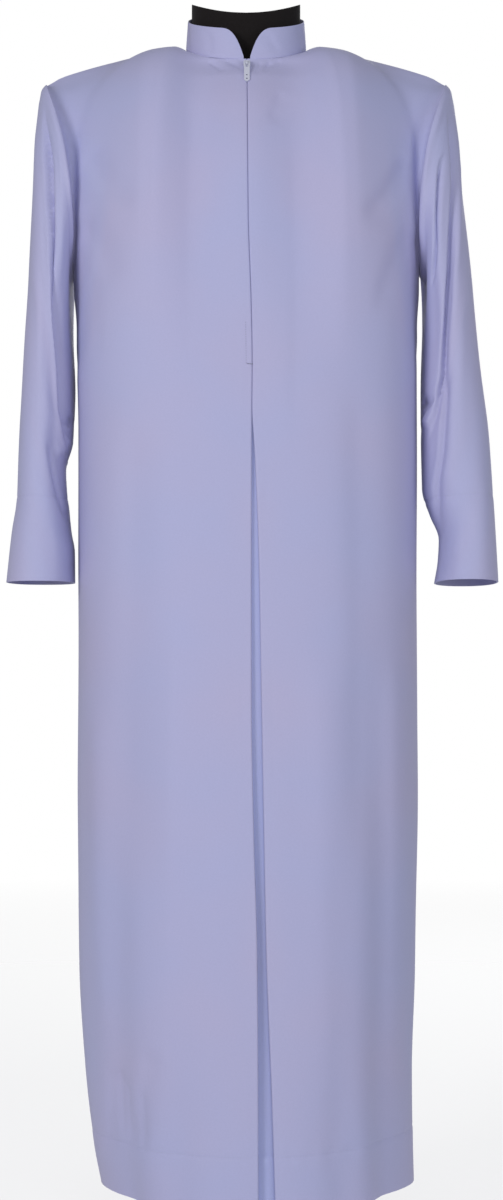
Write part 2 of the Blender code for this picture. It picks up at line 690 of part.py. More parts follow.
def sleeve_point(side, curves, part, turn):
    """Mid-wall point of a sleeve: part 0 is the armhole, 1 the cuff; turn as on the armhole."""
    outer, inner, middle_y, depth = (curve(part) for curve in curves)
    top_z = SHOULDER_TIP_Z + (CUFF_Z - SHOULDER_TIP_Z) * part
    low_z = UNDERARM_Z + (CUFF_Z - UNDERARM_Z) * part
    angle = math.radians(turn)
    up, across = math.cos(angle), math.sin(angle)
    boxy = SLEEVE_BOXINESS * smoothstep(part, *SLEEVE_BOXY_RANGE)
    up_share = math.copysign(abs(up) ** (1 - boxy), up)
    across_share = math.copysign(abs(across) ** (1 - boxy), across)
    bow = ARMHOLE_BOW * (1 - smoothstep(part, 0.0, SLEEVE_BOW_END)) * across ** 2
    back_fade = 1 - smoothstep(part, 0.0, SLEEVE_BACK_END)
    back_more = (ARMHOLE_BACK_DEPTH - ARMHOLE_FRONT_DEPTH) * back_fade
    depth += back_more if across < 0 else 0.0
    crown_y = SHOULDER_TIP_Y * (1 + up) / 2 * (1 - smoothstep(part, 0.0, SLEEVE_CROWN_END))
    start_y = middle_y - curves[2](0.0)
    y_off = -depth * across_share
    z = (top_z + low_z) / 2 + (top_z - low_z) / 2 * up_share
    z -= SLEEVE_TILT[side] * smoothstep(part, *SLEEVE_TILT_RANGE) * y_off
    point = np.array([side * ((outer + inner) / 2 + (outer - inner) / 2 * up_share - bow),
                      crown_y + start_y + y_off, z])
    inward = unit(np.array([-side * up, across, 0.0]))
    return point + inward * trough_depth(side, part, turn)


def trough_depth(side, part, turn):
    """Inward depth of the sleeve's long troughs at a place on it."""
    depth = 0.0
    for turn_start, turn_end, start, end, deep, width in SLEEVE_TROUGHS[side]:
        along = (part - start) / (end - start)
        if 0.0 < along < 1.0:
            middle = turn_start + (turn_end - turn_start) * along
            apart = (turn - middle + 180.0) % 360.0 - 180.0
            grown = math.sin(math.pi * along) ** TROUGH_ROUNDNESS
            depth += deep * grown * math.exp(-(apart / width) ** 2)
    return depth


def make_sleeve(side, table, name, material):
    """A sleeve as one tube of cloth; its head sits just outside the armhole edge."""
    curves = [track(table, column) for column in (1, 2, 3, 4)]
    turns = [180.0 * i / ARMHOLE_COLUMNS for i in range(2 * ARMHOLE_COLUMNS)]
    grid = np.array([[sleeve_point(side, curves, part, turn) for turn in turns]
                     for part in SLEEVE_ROWS])
    centres = grid.mean(axis=1, keepdims=True)
    normals = grid_normals(grid, loop=True)
    if np.sum((grid - centres) * normals) < 0:
        normals = -normals
    head = grid[0].copy()
    away = unit(grid[1] - grid[0])
    for i, turn in enumerate(turns):
        up = math.cos(math.radians(turn))
        along = SEAM_GAP + SLEEVE_HEAD_EASE
        beside = (WALL + SEAM_GAP) * smoothstep(-up, *HEAD_BESIDE_RANGE)
        head[i] = grid[0, i] + away[i] * along + np.array([side * beside, 0.0, 0.0])
    grid[0] = head
    return wall(name, grid, normals, material, loop=True)


def make_underlay(body, material):
    """The strip behind the pleat's two inner folds."""
    inward = inward_directions(body.front_normals[LEFT])
    rows = []
    for i in range(SKIRT_ROWS + 1):
        right, left = body.front[RIGHT][i], body.front[LEFT][i]
        z = left[0, 2]
        depth = 2 * FOLD_RADIUS + pleat_depth(z) + WALL + SEAM_GAP + UNDERLAY_EASE
        start, end = right[0, 0] - pleat_width(z), left[0, 0] + pleat_width(z)
        row = []
        for part in np.linspace(0.0, 1.0, UNDERLAY_COLUMNS):
            x = start + (end - start) * part
            point = surface_point(left if x > left[0, 0] else right, x)
            row.append(point + inward[i] * depth)
        rows.append(row)
    grid = np.array(rows)
    normals = outward_from_axis(grid, grid_normals(grid))
    return wall("pleat_underlay", grid, normals, material)


def make_zip_tape(body, material):
    """The zip's tapes behind the two front edges, from the stop to the neck seam."""
    inward = inward_directions(body.front_normals[LEFT])
    depth = 2 * FOLD_RADIUS + WALL / 2 + SEAM_GAP + TAPE_WALL / 2
    rows = []
    for i in range(SKIRT_ROWS, body.front[LEFT].shape[0]):
        right, left = body.front[RIGHT][i], body.front[LEFT][i]
        middle = (left[0, 0] + right[0, 0]) / 2
        row = []
        for part in np.linspace(-1.0, 1.0, TAPE_COLUMNS):
            x = middle + TAPE_HALF_WIDTH * part
            point = surface_point(left if x > left[0, 0] else right, x)
            row.append(point + inward[i] * depth)
        rows.append(row)
    grid = np.array(rows)
    stop = (ZIP_END_Z - YOKE_Z) / (grid[1, 0, 2] - grid[0, 0, 2])
    grid[0] += (grid[1] - grid[0]) * stop
    below_seam = TAPE_TOP_GAP / np.linalg.norm(grid[-1, 0] - grid[-2, 0])
    grid[-1] += (grid[-2] - grid[-1]) * below_seam
    normals = outward_from_axis(grid, grid_normals(grid))
    return wall("zip_tape", grid, normals, material, thickness=TAPE_WALL)


def make_form(material):
    """Smooth limbless dress form: closed rings from the hips to a dished neck cut."""
    curves = [track(FORM, column) for column in (1, 2, 3, 4, 5)]
    levels = [row[0] for row in FORM]
    bm = bmesh.new()
    rings = []
    for z in levels + [NECK_TOP_Z]:
        half, front, back, power, slope = (curve(z) for curve in curves)
        ring = []
        for i in range(FORM_SIDES):
            angle = 2 * math.pi * i / FORM_SIDES
            x = half * math.copysign(abs(math.sin(angle)) ** (2 / power), math.sin(angle))
            depth = front if math.cos(angle) > 0 else back
            y = -depth * math.copysign(abs(math.cos(angle)) ** (2 / power), math.cos(angle))
            if z == NECK_TOP_Z:
                level = z + NECK_TOP_SLOPE * y + NECK_TOP_DISH * (x / half) ** 2
            else:
                level = z + slope * min(y, 0.0)
            ring.append(bm.verts.new((x, y + NECK_Y, level)))
        rings.append(ring)
    for lower, upper in zip(rings, rings[1:]):
        for i in range(FORM_SIDES):
            n = (i + 1) % FORM_SIDES
            bm.faces.new((lower[i], lower[n], upper[n], upper[i]))
    bottom = bm.verts.new((0.0, NECK_Y, levels[0]))
    top = bm.verts.new((0.0, NECK_Y, NECK_TOP_Z))
    for i in range(FORM_SIDES):
        n = (i + 1) % FORM_SIDES
        bm.faces.new((bottom, rings[0][n], rings[0][i]))
        bm.faces.new((top, rings[-1][i], rings[-1][n]))
    return new_object("form_torso", bm, material)


def turned(name, profile, material):
    """Solid of revolution about the Z axis from (radius, z) pairs, listed from the top down."""
    mesh = bpy.data.meshes.new(name)
    points = [(radius, 0.0, z) for radius, z in profile]
    mesh.from_pydata(points, [(i, i + 1) for i in range(len(points) - 1)], [])
    mesh.materials.append(material)
    made = bpy.data.objects.new(name, mesh)
    COLLECTION.objects.link(made)
    screw = made.modifiers.new("turned", "SCREW")
    screw.steps = ROUND_SIDES
    screw.render_steps = ROUND_SIDES
    screw.use_merge_vertices = True
    screw.merge_threshold = 0.0001
    return made


def make_pole(material):
    """Round pole with a flange under the form and its foot on the base's hub."""
    top = FORM[0][0] - SEAM_GAP
    foot = BASE_THICKNESS + HUB_HEIGHT + SEAM_GAP
    profile = ((0.0, top), (FLANGE_RADIUS, top), (FLANGE_RADIUS, top - FLANGE_THICKNESS),
               (POLE_RADIUS, top - FLANGE_THICKNESS - FLANGE_CONE), (POLE_RADIUS, foot), (0.0, foot))
    return turned("form_pole", profile, material)


def make_base(material):
    """Round plate with a raised hub under the pole."""
    hub = BASE_THICKNESS + HUB_HEIGHT
    profile = ((0.0, hub), (HUB_RADIUS - HUB_CHAMFER, hub), (HUB_RADIUS, hub - HUB_CHAMFER),
               (HUB_RADIUS, BASE_THICKNESS + HUB_FOOT_RISE), (HUB_RADIUS + HUB_FOOT_RUN, BASE_THICKNESS),
               (BASE_RADIUS - BASE_CHAMFER, BASE_THICKNESS), (BASE_RADIUS, BASE_THICKNESS - BASE_CHAMFER),
               (BASE_RADIUS, 0.0), (0.0, 0.0))
    return turned("form_base", profile, material)


class NeckSlope:
    """The flat stretch of the fronts below the neck seam, on which the zip's hardware lies."""

    def __init__(self, body):
        top = (body.front[LEFT][-1, 0] + body.front[RIGHT][-1, 0]) / 2
        below = (body.front[LEFT][-2, 0] + body.front[RIGHT][-2, 0]) / 2
        rise = top - below
        self.top = top
        self.angle = math.atan2(rise[2], rise[1])
        self.face = WALL / 2 + SEAM_GAP

    def place(self, down, out):
        """World point at a distance down the slope and out from the fronts' middle surface."""
        cosine, sine = math.cos(self.angle), math.sin(self.angle)
        return (self.top[0], self.top[1] - down * cosine - out * sine,
                self.top[2] - down * sine + out * cosine)


def block(bm, size, centre):
    """Box of a size about a centre, added to a bmesh."""
    made = bmesh.ops.create_cube(bm, size=1.0)["verts"]
    bmesh.ops.scale(bm, vec=size, verts=made)
    bmesh.ops.translate(bm, vec=centre, verts=made)
    return made


def make_slider(slope, material):
    """The slider's bevelled body, with the bridge under which the pull tab's bar turns."""
    bm = bmesh.new()
    block(bm, (SLIDER_WIDTH, SLIDER_LENGTH, SLIDER_THICKNESS), (0.0, 0.0, SLIDER_THICKNESS / 2))
    bmesh.ops.bevel(bm, geom=bm.edges, offset=SLIDER_BEVEL, segments=1, affect="EDGES")
    made = new_object("zip_slider", bm, material)
    made.location = slope.place(SLIDER_TOP_DOWN + SLIDER_LENGTH / 2, slope.face)
    made.rotation_euler = (slope.angle, 0.0, 0.0)
    bridge = make_bridge(material)
    bridge.location = made.location
    bridge.rotation_euler = made.rotation_euler
    join = made.modifiers.new("bridge", "BOOLEAN")
    join.operation = "UNION"
    join.object = bridge
    return made


def make_bridge(material):
    """Guide piece: a flat hoop standing on the slider, sunk a little into it."""
    sunk = SLIDER_THICKNESS / 2
    high = SLIDER_THICKNESS + BRIDGE_CLEAR_HEIGHT
    first = SLIDER_TOP_DOWN + SLIDER_LENGTH / 2 - BRIDGE_TOP_DOWN
    last = first - BRIDGE_LENGTH
    top = high + BRIDGE_WIRE
    outline = ((first, sunk), (first, top - BRIDGE_CORNER), (first - BRIDGE_CORNER, top),
               (last + BRIDGE_CORNER, top), (last, top - BRIDGE_CORNER), (last, sunk),
               (last + BRIDGE_WIRE, sunk), (last + BRIDGE_WIRE, high), (first - BRIDGE_WIRE, high),
               (first - BRIDGE_WIRE, sunk))
    bm = bmesh.new()
    face = bm.faces.new([bm.verts.new((-BRIDGE_WIDTH / 2, y, z)) for y, z in outline])
    grown = bmesh.ops.extrude_face_region(bm, geom=[face])["geom"]
    moved = [part for part in grown if isinstance(part, bmesh.types.BMVert)]
    bmesh.ops.translate(bm, vec=(BRIDGE_WIDTH, 0.0, 0.0), verts=moved)
    made = new_object("bridge_guide", bm, material)
    COLLECTION.objects.unlink(made)
    GUIDES.objects.link(made)
    made.hide_render = True
    made.display_type = "WIRE"
    return made


def ring_points(curve, points):
    """Closed straight-sided outline added to a flat curve."""
    spline = curve.splines.new("POLY")
    spline.points.add(len(points) - 1)
    for target, (x, y) in zip(spline.points, points):
        target.co = (x, y, 0.0, 1.0)
    spline.use_cyclic_u = True


def make_pull(slope, material):
    """Pull tab: a flat plate whose top bar lies under the bridge, with two small holes."""
    curve = bpy.data.curves.new("zip_pull", "CURVE")
    curve.dimensions = "2D"
    curve.fill_mode = "BOTH"
    curve.extrude = PULL_THICKNESS / 2
    half, corner = PULL_WIDTH / 2, PULL_CORNER
    top, low = PULL_BAR / 2, -PULL_LENGTH
    ring_points(curve, ((-half, top - corner), (-half + corner, top), (half - corner, top),
                        (half, top - corner), (half, low + 2 * corner), (half - 2 * corner, low),
                        (-half + 2 * corner, low), (-half, low + 2 * corner)))
    inside, upper = PULL_WINDOW_WIDTH / 2, -PULL_BAR / 2
    lower = upper - PULL_WINDOW_LENGTH
    ring_points(curve, ((-inside, upper), (inside, upper), (inside, lower), (-inside, lower)))
    for down in PULL_HOLES_DOWN:
        turns = [2 * math.pi * i / PULL_HOLE_SIDES for i in range(PULL_HOLE_SIDES)]
        ring_points(curve, [(PULL_HOLE_RADIUS * math.cos(turn), -down + PULL_HOLE_RADIUS * math.sin(turn))
                            for turn in turns])
    curve.materials.append(material)
    flat = bpy.data.objects.new("zip_pull_outline", curve)
    COLLECTION.objects.link(flat)
    seen = flat.evaluated_get(bpy.context.evaluated_depsgraph_get())
    mesh = bpy.data.meshes.new_from_object(seen)
    bpy.data.objects.remove(flat, do_unlink=True)
    bm = bmesh.new()
    bm.from_mesh(mesh)
    bmesh.ops.remove_doubles(bm, verts=bm.verts, dist=0.00001)
    bm.to_mesh(mesh)
    bm.free()
    made = bpy.data.objects.new("zip_pull", mesh)
    COLLECTION.objects.link(made)
    made.location = slope.place(PULL_PIVOT_DOWN, slope.face + SLIDER_THICKNESS + PULL_PIVOT_RISE)
    made.rotation_euler = (slope.angle + math.radians(PULL_REST_TILT), 0.0, 0.0)
    return made


def main():
    """Build every piece of the alb, the dress form and its stand."""
    cloth = new_material("white_cloth", (0.62, 0.64, 0.84), 0.62, 0.0)
    tape = new_material("zip_tape", (0.62, 0.64, 0.84), 0.70, 0.0)
    metal = new_material("white_metal", (0.78, 0.79, 0.86), 0.35, 0.0)
    jersey = new_material("black_jersey", (0.012, 0.010, 0.010), 0.85, 0.0)
    steel = new_material("stand_metal", (0.05, 0.05, 0.05), 0.40, 0.6)
    body = Body()
    make_collar(body, cloth)
    make_front(body, RIGHT, "front_right", cloth)
    make_front(body, LEFT, "front_left", cloth)
    make_underlay(body, cloth)
    make_back(body, cloth)
    make_sleeve(LEFT, SLEEVE_LEFT, "sleeve_left", cloth)
    make_sleeve(RIGHT, SLEEVE_RIGHT, "sleeve_right", cloth)
    make_zip_tape(body, tape)
    slope = NeckSlope(body)
    make_slider(slope, metal)
    make_pull(slope, metal)
    make_form(jersey)
    make_pole(steel)
    make_base(steel)


def new_material(name, colour, roughness, metallic):
    """Principled material of one colour."""
    material = bpy.data.materials.new(name)
    material.use_nodes = True
    shader = material.node_tree.nodes["Principled BSDF"]
    shader.inputs["Base Color"].default_value = (*colour, 1.0)
    shader.inputs["Roughness"].default_value = roughness
    shader.inputs["Metallic"].default_value = metallic
    return material


for old in list(bpy.data.objects):
    bpy.data.objects.remove(old, do_unlink=True)
COLLECTION = bpy.data.collections.new("alb_on_dress_form")
bpy.context.scene.collection.children.link(COLLECTION)
GUIDES = bpy.data.collections.new("guides")
bpy.context.scene.collection.children.link(GUIDES)
main()
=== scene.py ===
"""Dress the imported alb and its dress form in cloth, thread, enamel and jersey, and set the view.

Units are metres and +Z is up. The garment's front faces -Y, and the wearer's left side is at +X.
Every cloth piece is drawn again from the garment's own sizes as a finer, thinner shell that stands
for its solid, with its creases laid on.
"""
import json
import logging
import math
from dataclasses import dataclass
from enum import Enum
from typing import Any, Callable, Sequence

import bmesh
import bpy
import numpy as np
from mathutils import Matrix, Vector

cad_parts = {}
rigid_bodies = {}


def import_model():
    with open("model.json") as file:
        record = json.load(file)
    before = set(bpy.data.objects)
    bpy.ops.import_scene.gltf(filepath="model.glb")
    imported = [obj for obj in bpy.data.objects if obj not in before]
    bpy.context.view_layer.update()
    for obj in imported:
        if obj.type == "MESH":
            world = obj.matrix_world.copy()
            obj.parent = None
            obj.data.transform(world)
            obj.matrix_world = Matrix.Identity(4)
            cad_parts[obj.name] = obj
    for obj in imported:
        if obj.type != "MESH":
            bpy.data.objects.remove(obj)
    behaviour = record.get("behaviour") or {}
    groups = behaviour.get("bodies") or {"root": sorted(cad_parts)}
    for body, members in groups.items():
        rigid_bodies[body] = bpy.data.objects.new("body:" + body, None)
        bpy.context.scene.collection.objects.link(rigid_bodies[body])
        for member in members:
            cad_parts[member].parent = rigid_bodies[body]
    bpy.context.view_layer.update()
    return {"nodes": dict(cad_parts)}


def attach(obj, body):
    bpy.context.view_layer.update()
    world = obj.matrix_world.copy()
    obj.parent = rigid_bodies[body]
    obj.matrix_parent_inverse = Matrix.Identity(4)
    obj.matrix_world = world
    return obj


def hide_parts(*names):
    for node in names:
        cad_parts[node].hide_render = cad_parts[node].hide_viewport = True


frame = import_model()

LOG = logging.getLogger("alb")
Grid = np.ndarray
Rows = Sequence[Sequence[float]]
MM = 0.001
FORWARD = (0.0, -1.0, 0.0)
SWAY = 0.07  # most that a stitch turns out of its row, in radians
MIX_FACTOR, MIX_FIRST, MIX_SECOND, MIX_COLOUR = 0, 6, 7, 2  # a colour Mix node's sockets

BODY = (
    # z, half width right, half width left, front line y, back line y
    (0.120, 0.1700, 0.1960, -0.2120, 0.2050),
    (0.160, 0.1780, 0.1950, -0.2090, 0.2010),
    (0.250, 0.1890, 0.1945, -0.2030, 0.1920),
    (0.370, 0.1965, 0.1985, -0.1950, 0.1810),
    (0.600, 0.1995, 0.2035, -0.1790, 0.1600),
    (0.860, 0.1995, 0.2035, -0.1580, 0.1380),
    (1.000, 0.1995, 0.2035, -0.1460, 0.1290),
    (1.060, 0.2010, 0.2035, -0.1420, 0.1270),
    (1.194, 0.2080, 0.2080, -0.1320, 0.1250),
    (1.250, 0.2080, 0.2080, -0.1270, 0.1240),
    (1.310, 0.2080, 0.2080, -0.1190, 0.1210),
    (1.370, 0.2080, 0.2080, -0.1020, 0.1150),
    (1.410, 0.2080, 0.2080, -0.0815, 0.1050),
    (1.4343, 0.2080, 0.2080, -0.0630, 0.0960),
    (1.4840, 0.2080, 0.2080, -0.0630, 0.0690),
)
FRONT_EDGES = (
    # z, edge of the right front, edge of the left front
    (0.120, 0.0143, 0.0332),
    (0.250, 0.0141, 0.0290),
    (0.400, 0.0131, 0.0233),
    (0.550, 0.0090, 0.0203),
    (0.688, 0.0067, 0.0178),
    (0.853, 0.0066, 0.0147),
    (0.960, 0.0068, 0.0106),
    (1.022, 0.00695, 0.00725),
    (1.067, 0.00735, 0.00765),
    (1.140, 0.00615, 0.00645),
    (1.240, 0.00285, 0.00315),
    (1.380, 0.00165, 0.00195),
    (1.4343, 0.00105, 0.00135),
)
FOLDS = (
    # turn at hem, turn where it fades, depth (out is positive), half width in degrees, fade height
    (28.0, 24.0, -0.004, 8.0, 0.75),
    (52.0, 46.0, -0.008, 9.0, 0.95),
    (74.0, 80.0, 0.005, 8.0, 0.90),
    (99.0, 94.0, -0.013, 9.0, 1.05),
    (118.0, 113.0, 0.007, 8.0, 0.90),
    (137.0, 131.0, -0.016, 10.0, 1.10),
    (158.0, 160.0, 0.007, 9.0, 0.80),
    (179.0, 177.0, -0.015, 11.0, 1.12),
    (203.0, 205.0, 0.006, 10.0, 1.00),
    (225.0, 222.0, -0.016, 10.0, 1.10),
    (246.0, 250.0, 0.007, 9.0, 0.90),
    (263.0, 267.0, -0.012, 8.0, 1.05),
    (286.0, 280.0, 0.004, 8.0, 0.85),
    (308.0, 314.0, -0.008, 9.0, 0.95),
    (333.0, 337.0, -0.004, 8.0, 0.80),
)
SLEEVE_LEFT = (
    # part of the way to the cuff, outer x, inner x, middle y, half depth
    (0.00, 0.2430, 0.2080, 0.003, 0.0750),
    (0.05, 0.2488, 0.2165, 0.001, 0.0755),
    (0.20, 0.2568, 0.2125, -0.004, 0.0750),
    (0.40, 0.2685, 0.2095, -0.012, 0.0700),
    (0.55, 0.2773, 0.2090, -0.018, 0.0660),
    (0.70, 0.2866, 0.2095, -0.025, 0.0620),
    (0.78, 0.2900, 0.2185, -0.029, 0.0600),
    (0.86, 0.2926, 0.2300, -0.032, 0.0600),
    (0.93, 0.2945, 0.2285, -0.035, 0.0620),
    (1.00, 0.2965, 0.2240, -0.037, 0.0640),
)
SLEEVE_RIGHT = (
    # part of the way to the cuff, outer x, inner x, middle y, half depth
    (0.00, 0.2430, 0.2080, 0.003, 0.0750),
    (0.05, 0.2482, 0.2105, 0.001, 0.0755),
    (0.20, 0.2533, 0.2085, -0.003, 0.0750),
    (0.40, 0.2590, 0.2050, -0.009, 0.0700),
    (0.55, 0.2640, 0.2065, -0.014, 0.0660),
    (0.64, 0.2662, 0.2145, -0.017, 0.0620),
    (0.74, 0.2690, 0.2122, -0.020, 0.0600),
    (0.84, 0.2710, 0.2085, -0.023, 0.0600),
    (0.90, 0.2762, 0.2045, -0.025, 0.0620),
    (1.00, 0.2825, 0.2040, -0.027, 0.0650),
)
TROUGHS_LEFT = (
    # turn at start, turn at end, start, end, depth, half width in degrees
    (60.0, 150.0, 0.10, 0.76, 0.0060, 20.0),
    (110.0, 128.0, 0.05, 0.45, 0.0040, 14.0),
    (250.0, 215.0, 0.08, 0.80, 0.0055, 22.0),
    (300.0, 310.0, 0.15, 0.60, 0.0035, 18.0),
)
TROUGHS_RIGHT = (
    # turn at start, turn at end, start, end, depth, half width in degrees
    (45.0, 150.0, 0.08, 0.80, 0.0060, 20.0),
    (115.0, 125.0, 0.06, 0.40, 0.0035, 14.0),
    (255.0, 205.0, 0.08, 0.76, 0.0055, 22.0),
    (305.0, 315.0, 0.20, 0.65, 0.0035, 18.0),
)
ARMHOLE_SHARES = (0.622, 0.647, 0.674, 0.703, 0.755, 0.822, 0.905, 1.0)
SWING_SHARES = (0.0, 0.38, 0.60, 0.70, 0.80, 1.0)
SWINGS = (1.5, 1.5, 1.2, 1.6, 2.2, 1.6)
LAMPS = (
    # name, place, target, size, power, colour
    ("key", (-2.1, -2.5, 1.75), (0.0, 0.0, 1.20), 1.0, 37.0, (1.0, 0.985, 0.98)),
    ("front", (0.25, -3.2, 1.55), (0.0, 0.0, 1.15), 0.8, 20.0, (1.0, 0.99, 0.99)),
    ("fill", (2.4, -2.2, 1.40), (0.0, 0.0, 1.10), 1.6, 16.5, (0.95, 0.97, 1.0)),
    ("rim", (0.6, 2.8, 1.9), (0.0, 0.0, 1.0), 1.6, 26.0, (1.0, 1.0, 1.0)),
)


class Side(Enum):
    """The wearer's left or right, with the sign of its x."""

    LEFT = 1.0
    RIGHT = -1.0


class Weave(Enum):
    """Which kind of woven or knitted ground a cloth finish shows."""

    PLAIN = "plain"
    TAPE = "tape"
    JERSEY = "jersey"


@dataclass(frozen=True)
class AlbSizes:
    """Main sizes of the alb, in metres and degrees."""

    wall: float = 0.0012
    solid_wall: float = 0.0015
    fold_radius: float = 0.0012
    fold_nose: float = 0.0010
    nose_reach: float = 0.00122
    hem_z: float = 0.120
    yoke_z: float = 1.060
    underarm_z: float = 1.194
    zip_end_z: float = 1.067
    neck_front_z: float = 1.4343
    neck_rise: float = 0.0497
    neck_half_width: float = 0.0715
    neck_half_depth: float = 0.0660
    neck_y: float = 0.003
    tip_x: float = 0.243
    tip_z: float = 1.4216
    tip_y: float = 0.008
    tip_press: float = 0.0042
    tip_press_width: float = 0.014
    shoulder_power: float = 1.6
    armhole_front: float = 0.075
    armhole_back: float = 0.078
    armhole_bow: float = 0.018
    underarm_x: float = 0.208
    collar_height: float = 0.036
    collar_lean: float = 0.0022
    collar_end_run: float = 0.030
    collar_end_height: float = 0.003
    pleat_return: float = 0.042
    zip_return: float = 0.014
    pleat_depth: float = 0.012
    underlay_ease: float = 0.0006
    underlay_bow: float = 0.5
    tape_half_width: float = 0.013
    tape_wall: float = 0.0008
    tape_top_gap: float = 0.003
    tape_ease: float = 0.0003
    tooth_offset: float = 0.0010
    stop_row_z: float = 1.09
    stop_row_gap: float = 0.0066
    cuff_z: float = 0.8204
    neck_share: float = 0.38
    shoulder_share: float = 0.60
    yoke_roundness: float = 2.8
    chest_squareness: float = 2.6
    hem_squareness: float = 2.3
    zip_shift_share: float = 0.28
    arch_end: float = 0.78
    skirt_hem: float = 0.062
    sleeve_hem: float = 0.100
    hem_layer: float = 0.0008


SIZES = AlbSizes()


@dataclass(frozen=True)
class Crease:
    """A soft trough or ridge along a short path on a piece.

    Attributes:
        path: points (across, along) in the piece's own coordinates.
        depth: height outward in metres, negative for a trough.
        width: half width in metres on the path's right-hand side, seen along the path.
        soft: how many times wider the left-hand side is.
    """

    path: Rows
    depth: float
    width: float
    soft: float = 1.0

    def height(self, across: Grid, along: Grid, scale: Sequence[float]) -> Grid:
        """Height of the crease at places of the piece.

        Args:
            across: first coordinate of each place.
            along: second coordinate of each place.
            scale: metres for one unit of each coordinate.

        Returns:
            The height outward, in metres.
        """
        points = np.array(self.path, float) * np.array(scale)
        place = np.stack([across * scale[0], along * scale[1]], axis=-1)
        ends = np.concatenate([[0.0], np.cumsum(np.linalg.norm(np.diff(points, axis=0), axis=1))])
        best = np.full(across.shape, 1e9)
        signed = np.zeros(across.shape)
        run = np.zeros(across.shape)
        for i, (start, end) in enumerate(zip(points, points[1:])):
            step = end - start
            long = float(step @ step)
            share = np.clip(((place - start) @ step) / long, 0.0, 1.0)
            away = place - start - share[..., None] * step
            distance = np.linalg.norm(away, axis=-1)
            nearer = distance < best
            turn = step[0] * away[..., 1] - step[1] * away[..., 0]
            best = np.where(nearer, distance, best)
            signed = np.where(nearer, np.sign(turn) * distance, signed)
            run = np.where(nearer, (ends[i] + share * math.sqrt(long)) / ends[-1], run)
        widths = np.where(signed > 0, self.width * self.soft, self.width)
        fade = ramp(run, 0.0, 0.16) * (1 - ramp(run, 0.72, 1.0))
        return self.depth * np.exp(-(signed / widths) ** 2) * fade


def creased(creases: Sequence[Crease], across: Grid, along: Grid,
            scale: Sequence[float] = (1.0, 1.0), period: float = 0.0) -> Grid:
    """Sum of the creases' heights at places of a piece.

    Args:
        creases: the creases laid on the piece.
        across: first coordinate of each place.
        along: second coordinate of each place.
        scale: metres for one unit of each coordinate.
        period: the first coordinate's full turn, where the piece closes on itself.

    Returns:
        The height outward, in metres.
    """
    total = np.zeros(across.shape)
    for crease in creases:
        near = across
        if period:
            middle = float(np.mean([point[0] for point in crease.path]))
            near = (across - middle + period / 2) % period - period / 2 + middle
        total += crease.height(near, along, scale)
    return total


def laid(rows: Sequence[tuple], unit_run: float = 1.0) -> tuple[Crease, ...]:
    """Creases from rows of a path, a depth, a half width and a softness.

    Args:
        rows: the rows, with depths and widths in millimetres.
        unit_run: factor on the paths' own coordinates.

    Returns:
        The creases, in metres.
    """
    return tuple(Crease([(a * unit_run, b * unit_run) for a, b in path], depth * MM, width * MM,
                        soft) for path, depth, width, soft in rows)


FRONT_CREASES = laid((
    # path (x, z) in millimetres, depth, half width, softness
    (((-44.4, 1432.5), (-34, 1424.5), (-25.7, 1416)), -1.2, 2, 1.8),
    (((-33, 1433), (-25, 1427), (-17, 1420)), 0.6, 3, 1),
    (((-24, 1433.5), (-16, 1427.5), (-9.4, 1420.6)), -1.1, 1.8, 1.8),
    (((-16, 1432.5), (-9, 1424), (-2.8, 1414.8)), -0.8, 1.6, 1.6),
    (((18.1, 1430.5), (13.5, 1421), (9.4, 1411)), -1.1, 1.9, 1.8),
    (((29.2, 1432), (24, 1424), (19.9, 1416)), -1.1, 1.9, 1.8),
    (((42, 1434), (31, 1428.5), (18.5, 1424.5)), -0.9, 2, 1.6),
    (((43, 1390), (36.5, 1372), (27.5, 1350)), -1.8, 7, 2),
    (((-60, 1400), (-64, 1250), (-62, 1000)), -1.6, 11, 2),
    (((56, 1360), (60, 1200), (58, 950)), -1.4, 11, 2),
    (((-192, 1330), (-160, 1280), (-125, 1250)), -3, 8, 2.2),
    (((192, 1320), (162, 1270), (130, 1235)), -3.4, 8, 2.2),
    (((-198, 1250), (-170, 1215), (-148, 1160)), -2.6, 10, 1.8),
    (((198, 1240), (176, 1200), (150, 1130)), -2.8, 10, 1.8),
    (((-125, 1040), (-130, 700), (-122, 420)), -3.4, 19, 1.4),
    (((130, 1080), (134, 760), (130, 450)), -3.6, 20, 1.4),
    (((-78, 820), (-82, 500), (-90, 200)), 2.6, 18, 1.3),
    (((86, 760), (90, 460), (98, 190)), 2.8, 19, 1.3),
    (((-170, 700), (-166, 450), (-150, 220)), 3, 14, 1.4),
    (((172, 760), (170, 480), (164, 200)), 3, 14, 1.4),
    (((-105, 300), (-118, 230), (-127, 170)), -3, 9, 1.8),
    (((-148, 270), (-154, 210), (-157, 150)), -2.4, 7, 1.8),
    (((-143, 270), (-141, 225), (-139.2, 184)), -2.2, 4, 1.6),
    (((-134.5, 256), (-132.5, 215), (-130.6, 180)), -1.8, 3.4, 1.6),
    (((-119, 248), (-117, 210), (-115, 174)), -1.8, 3.6, 1.6),
), MM)
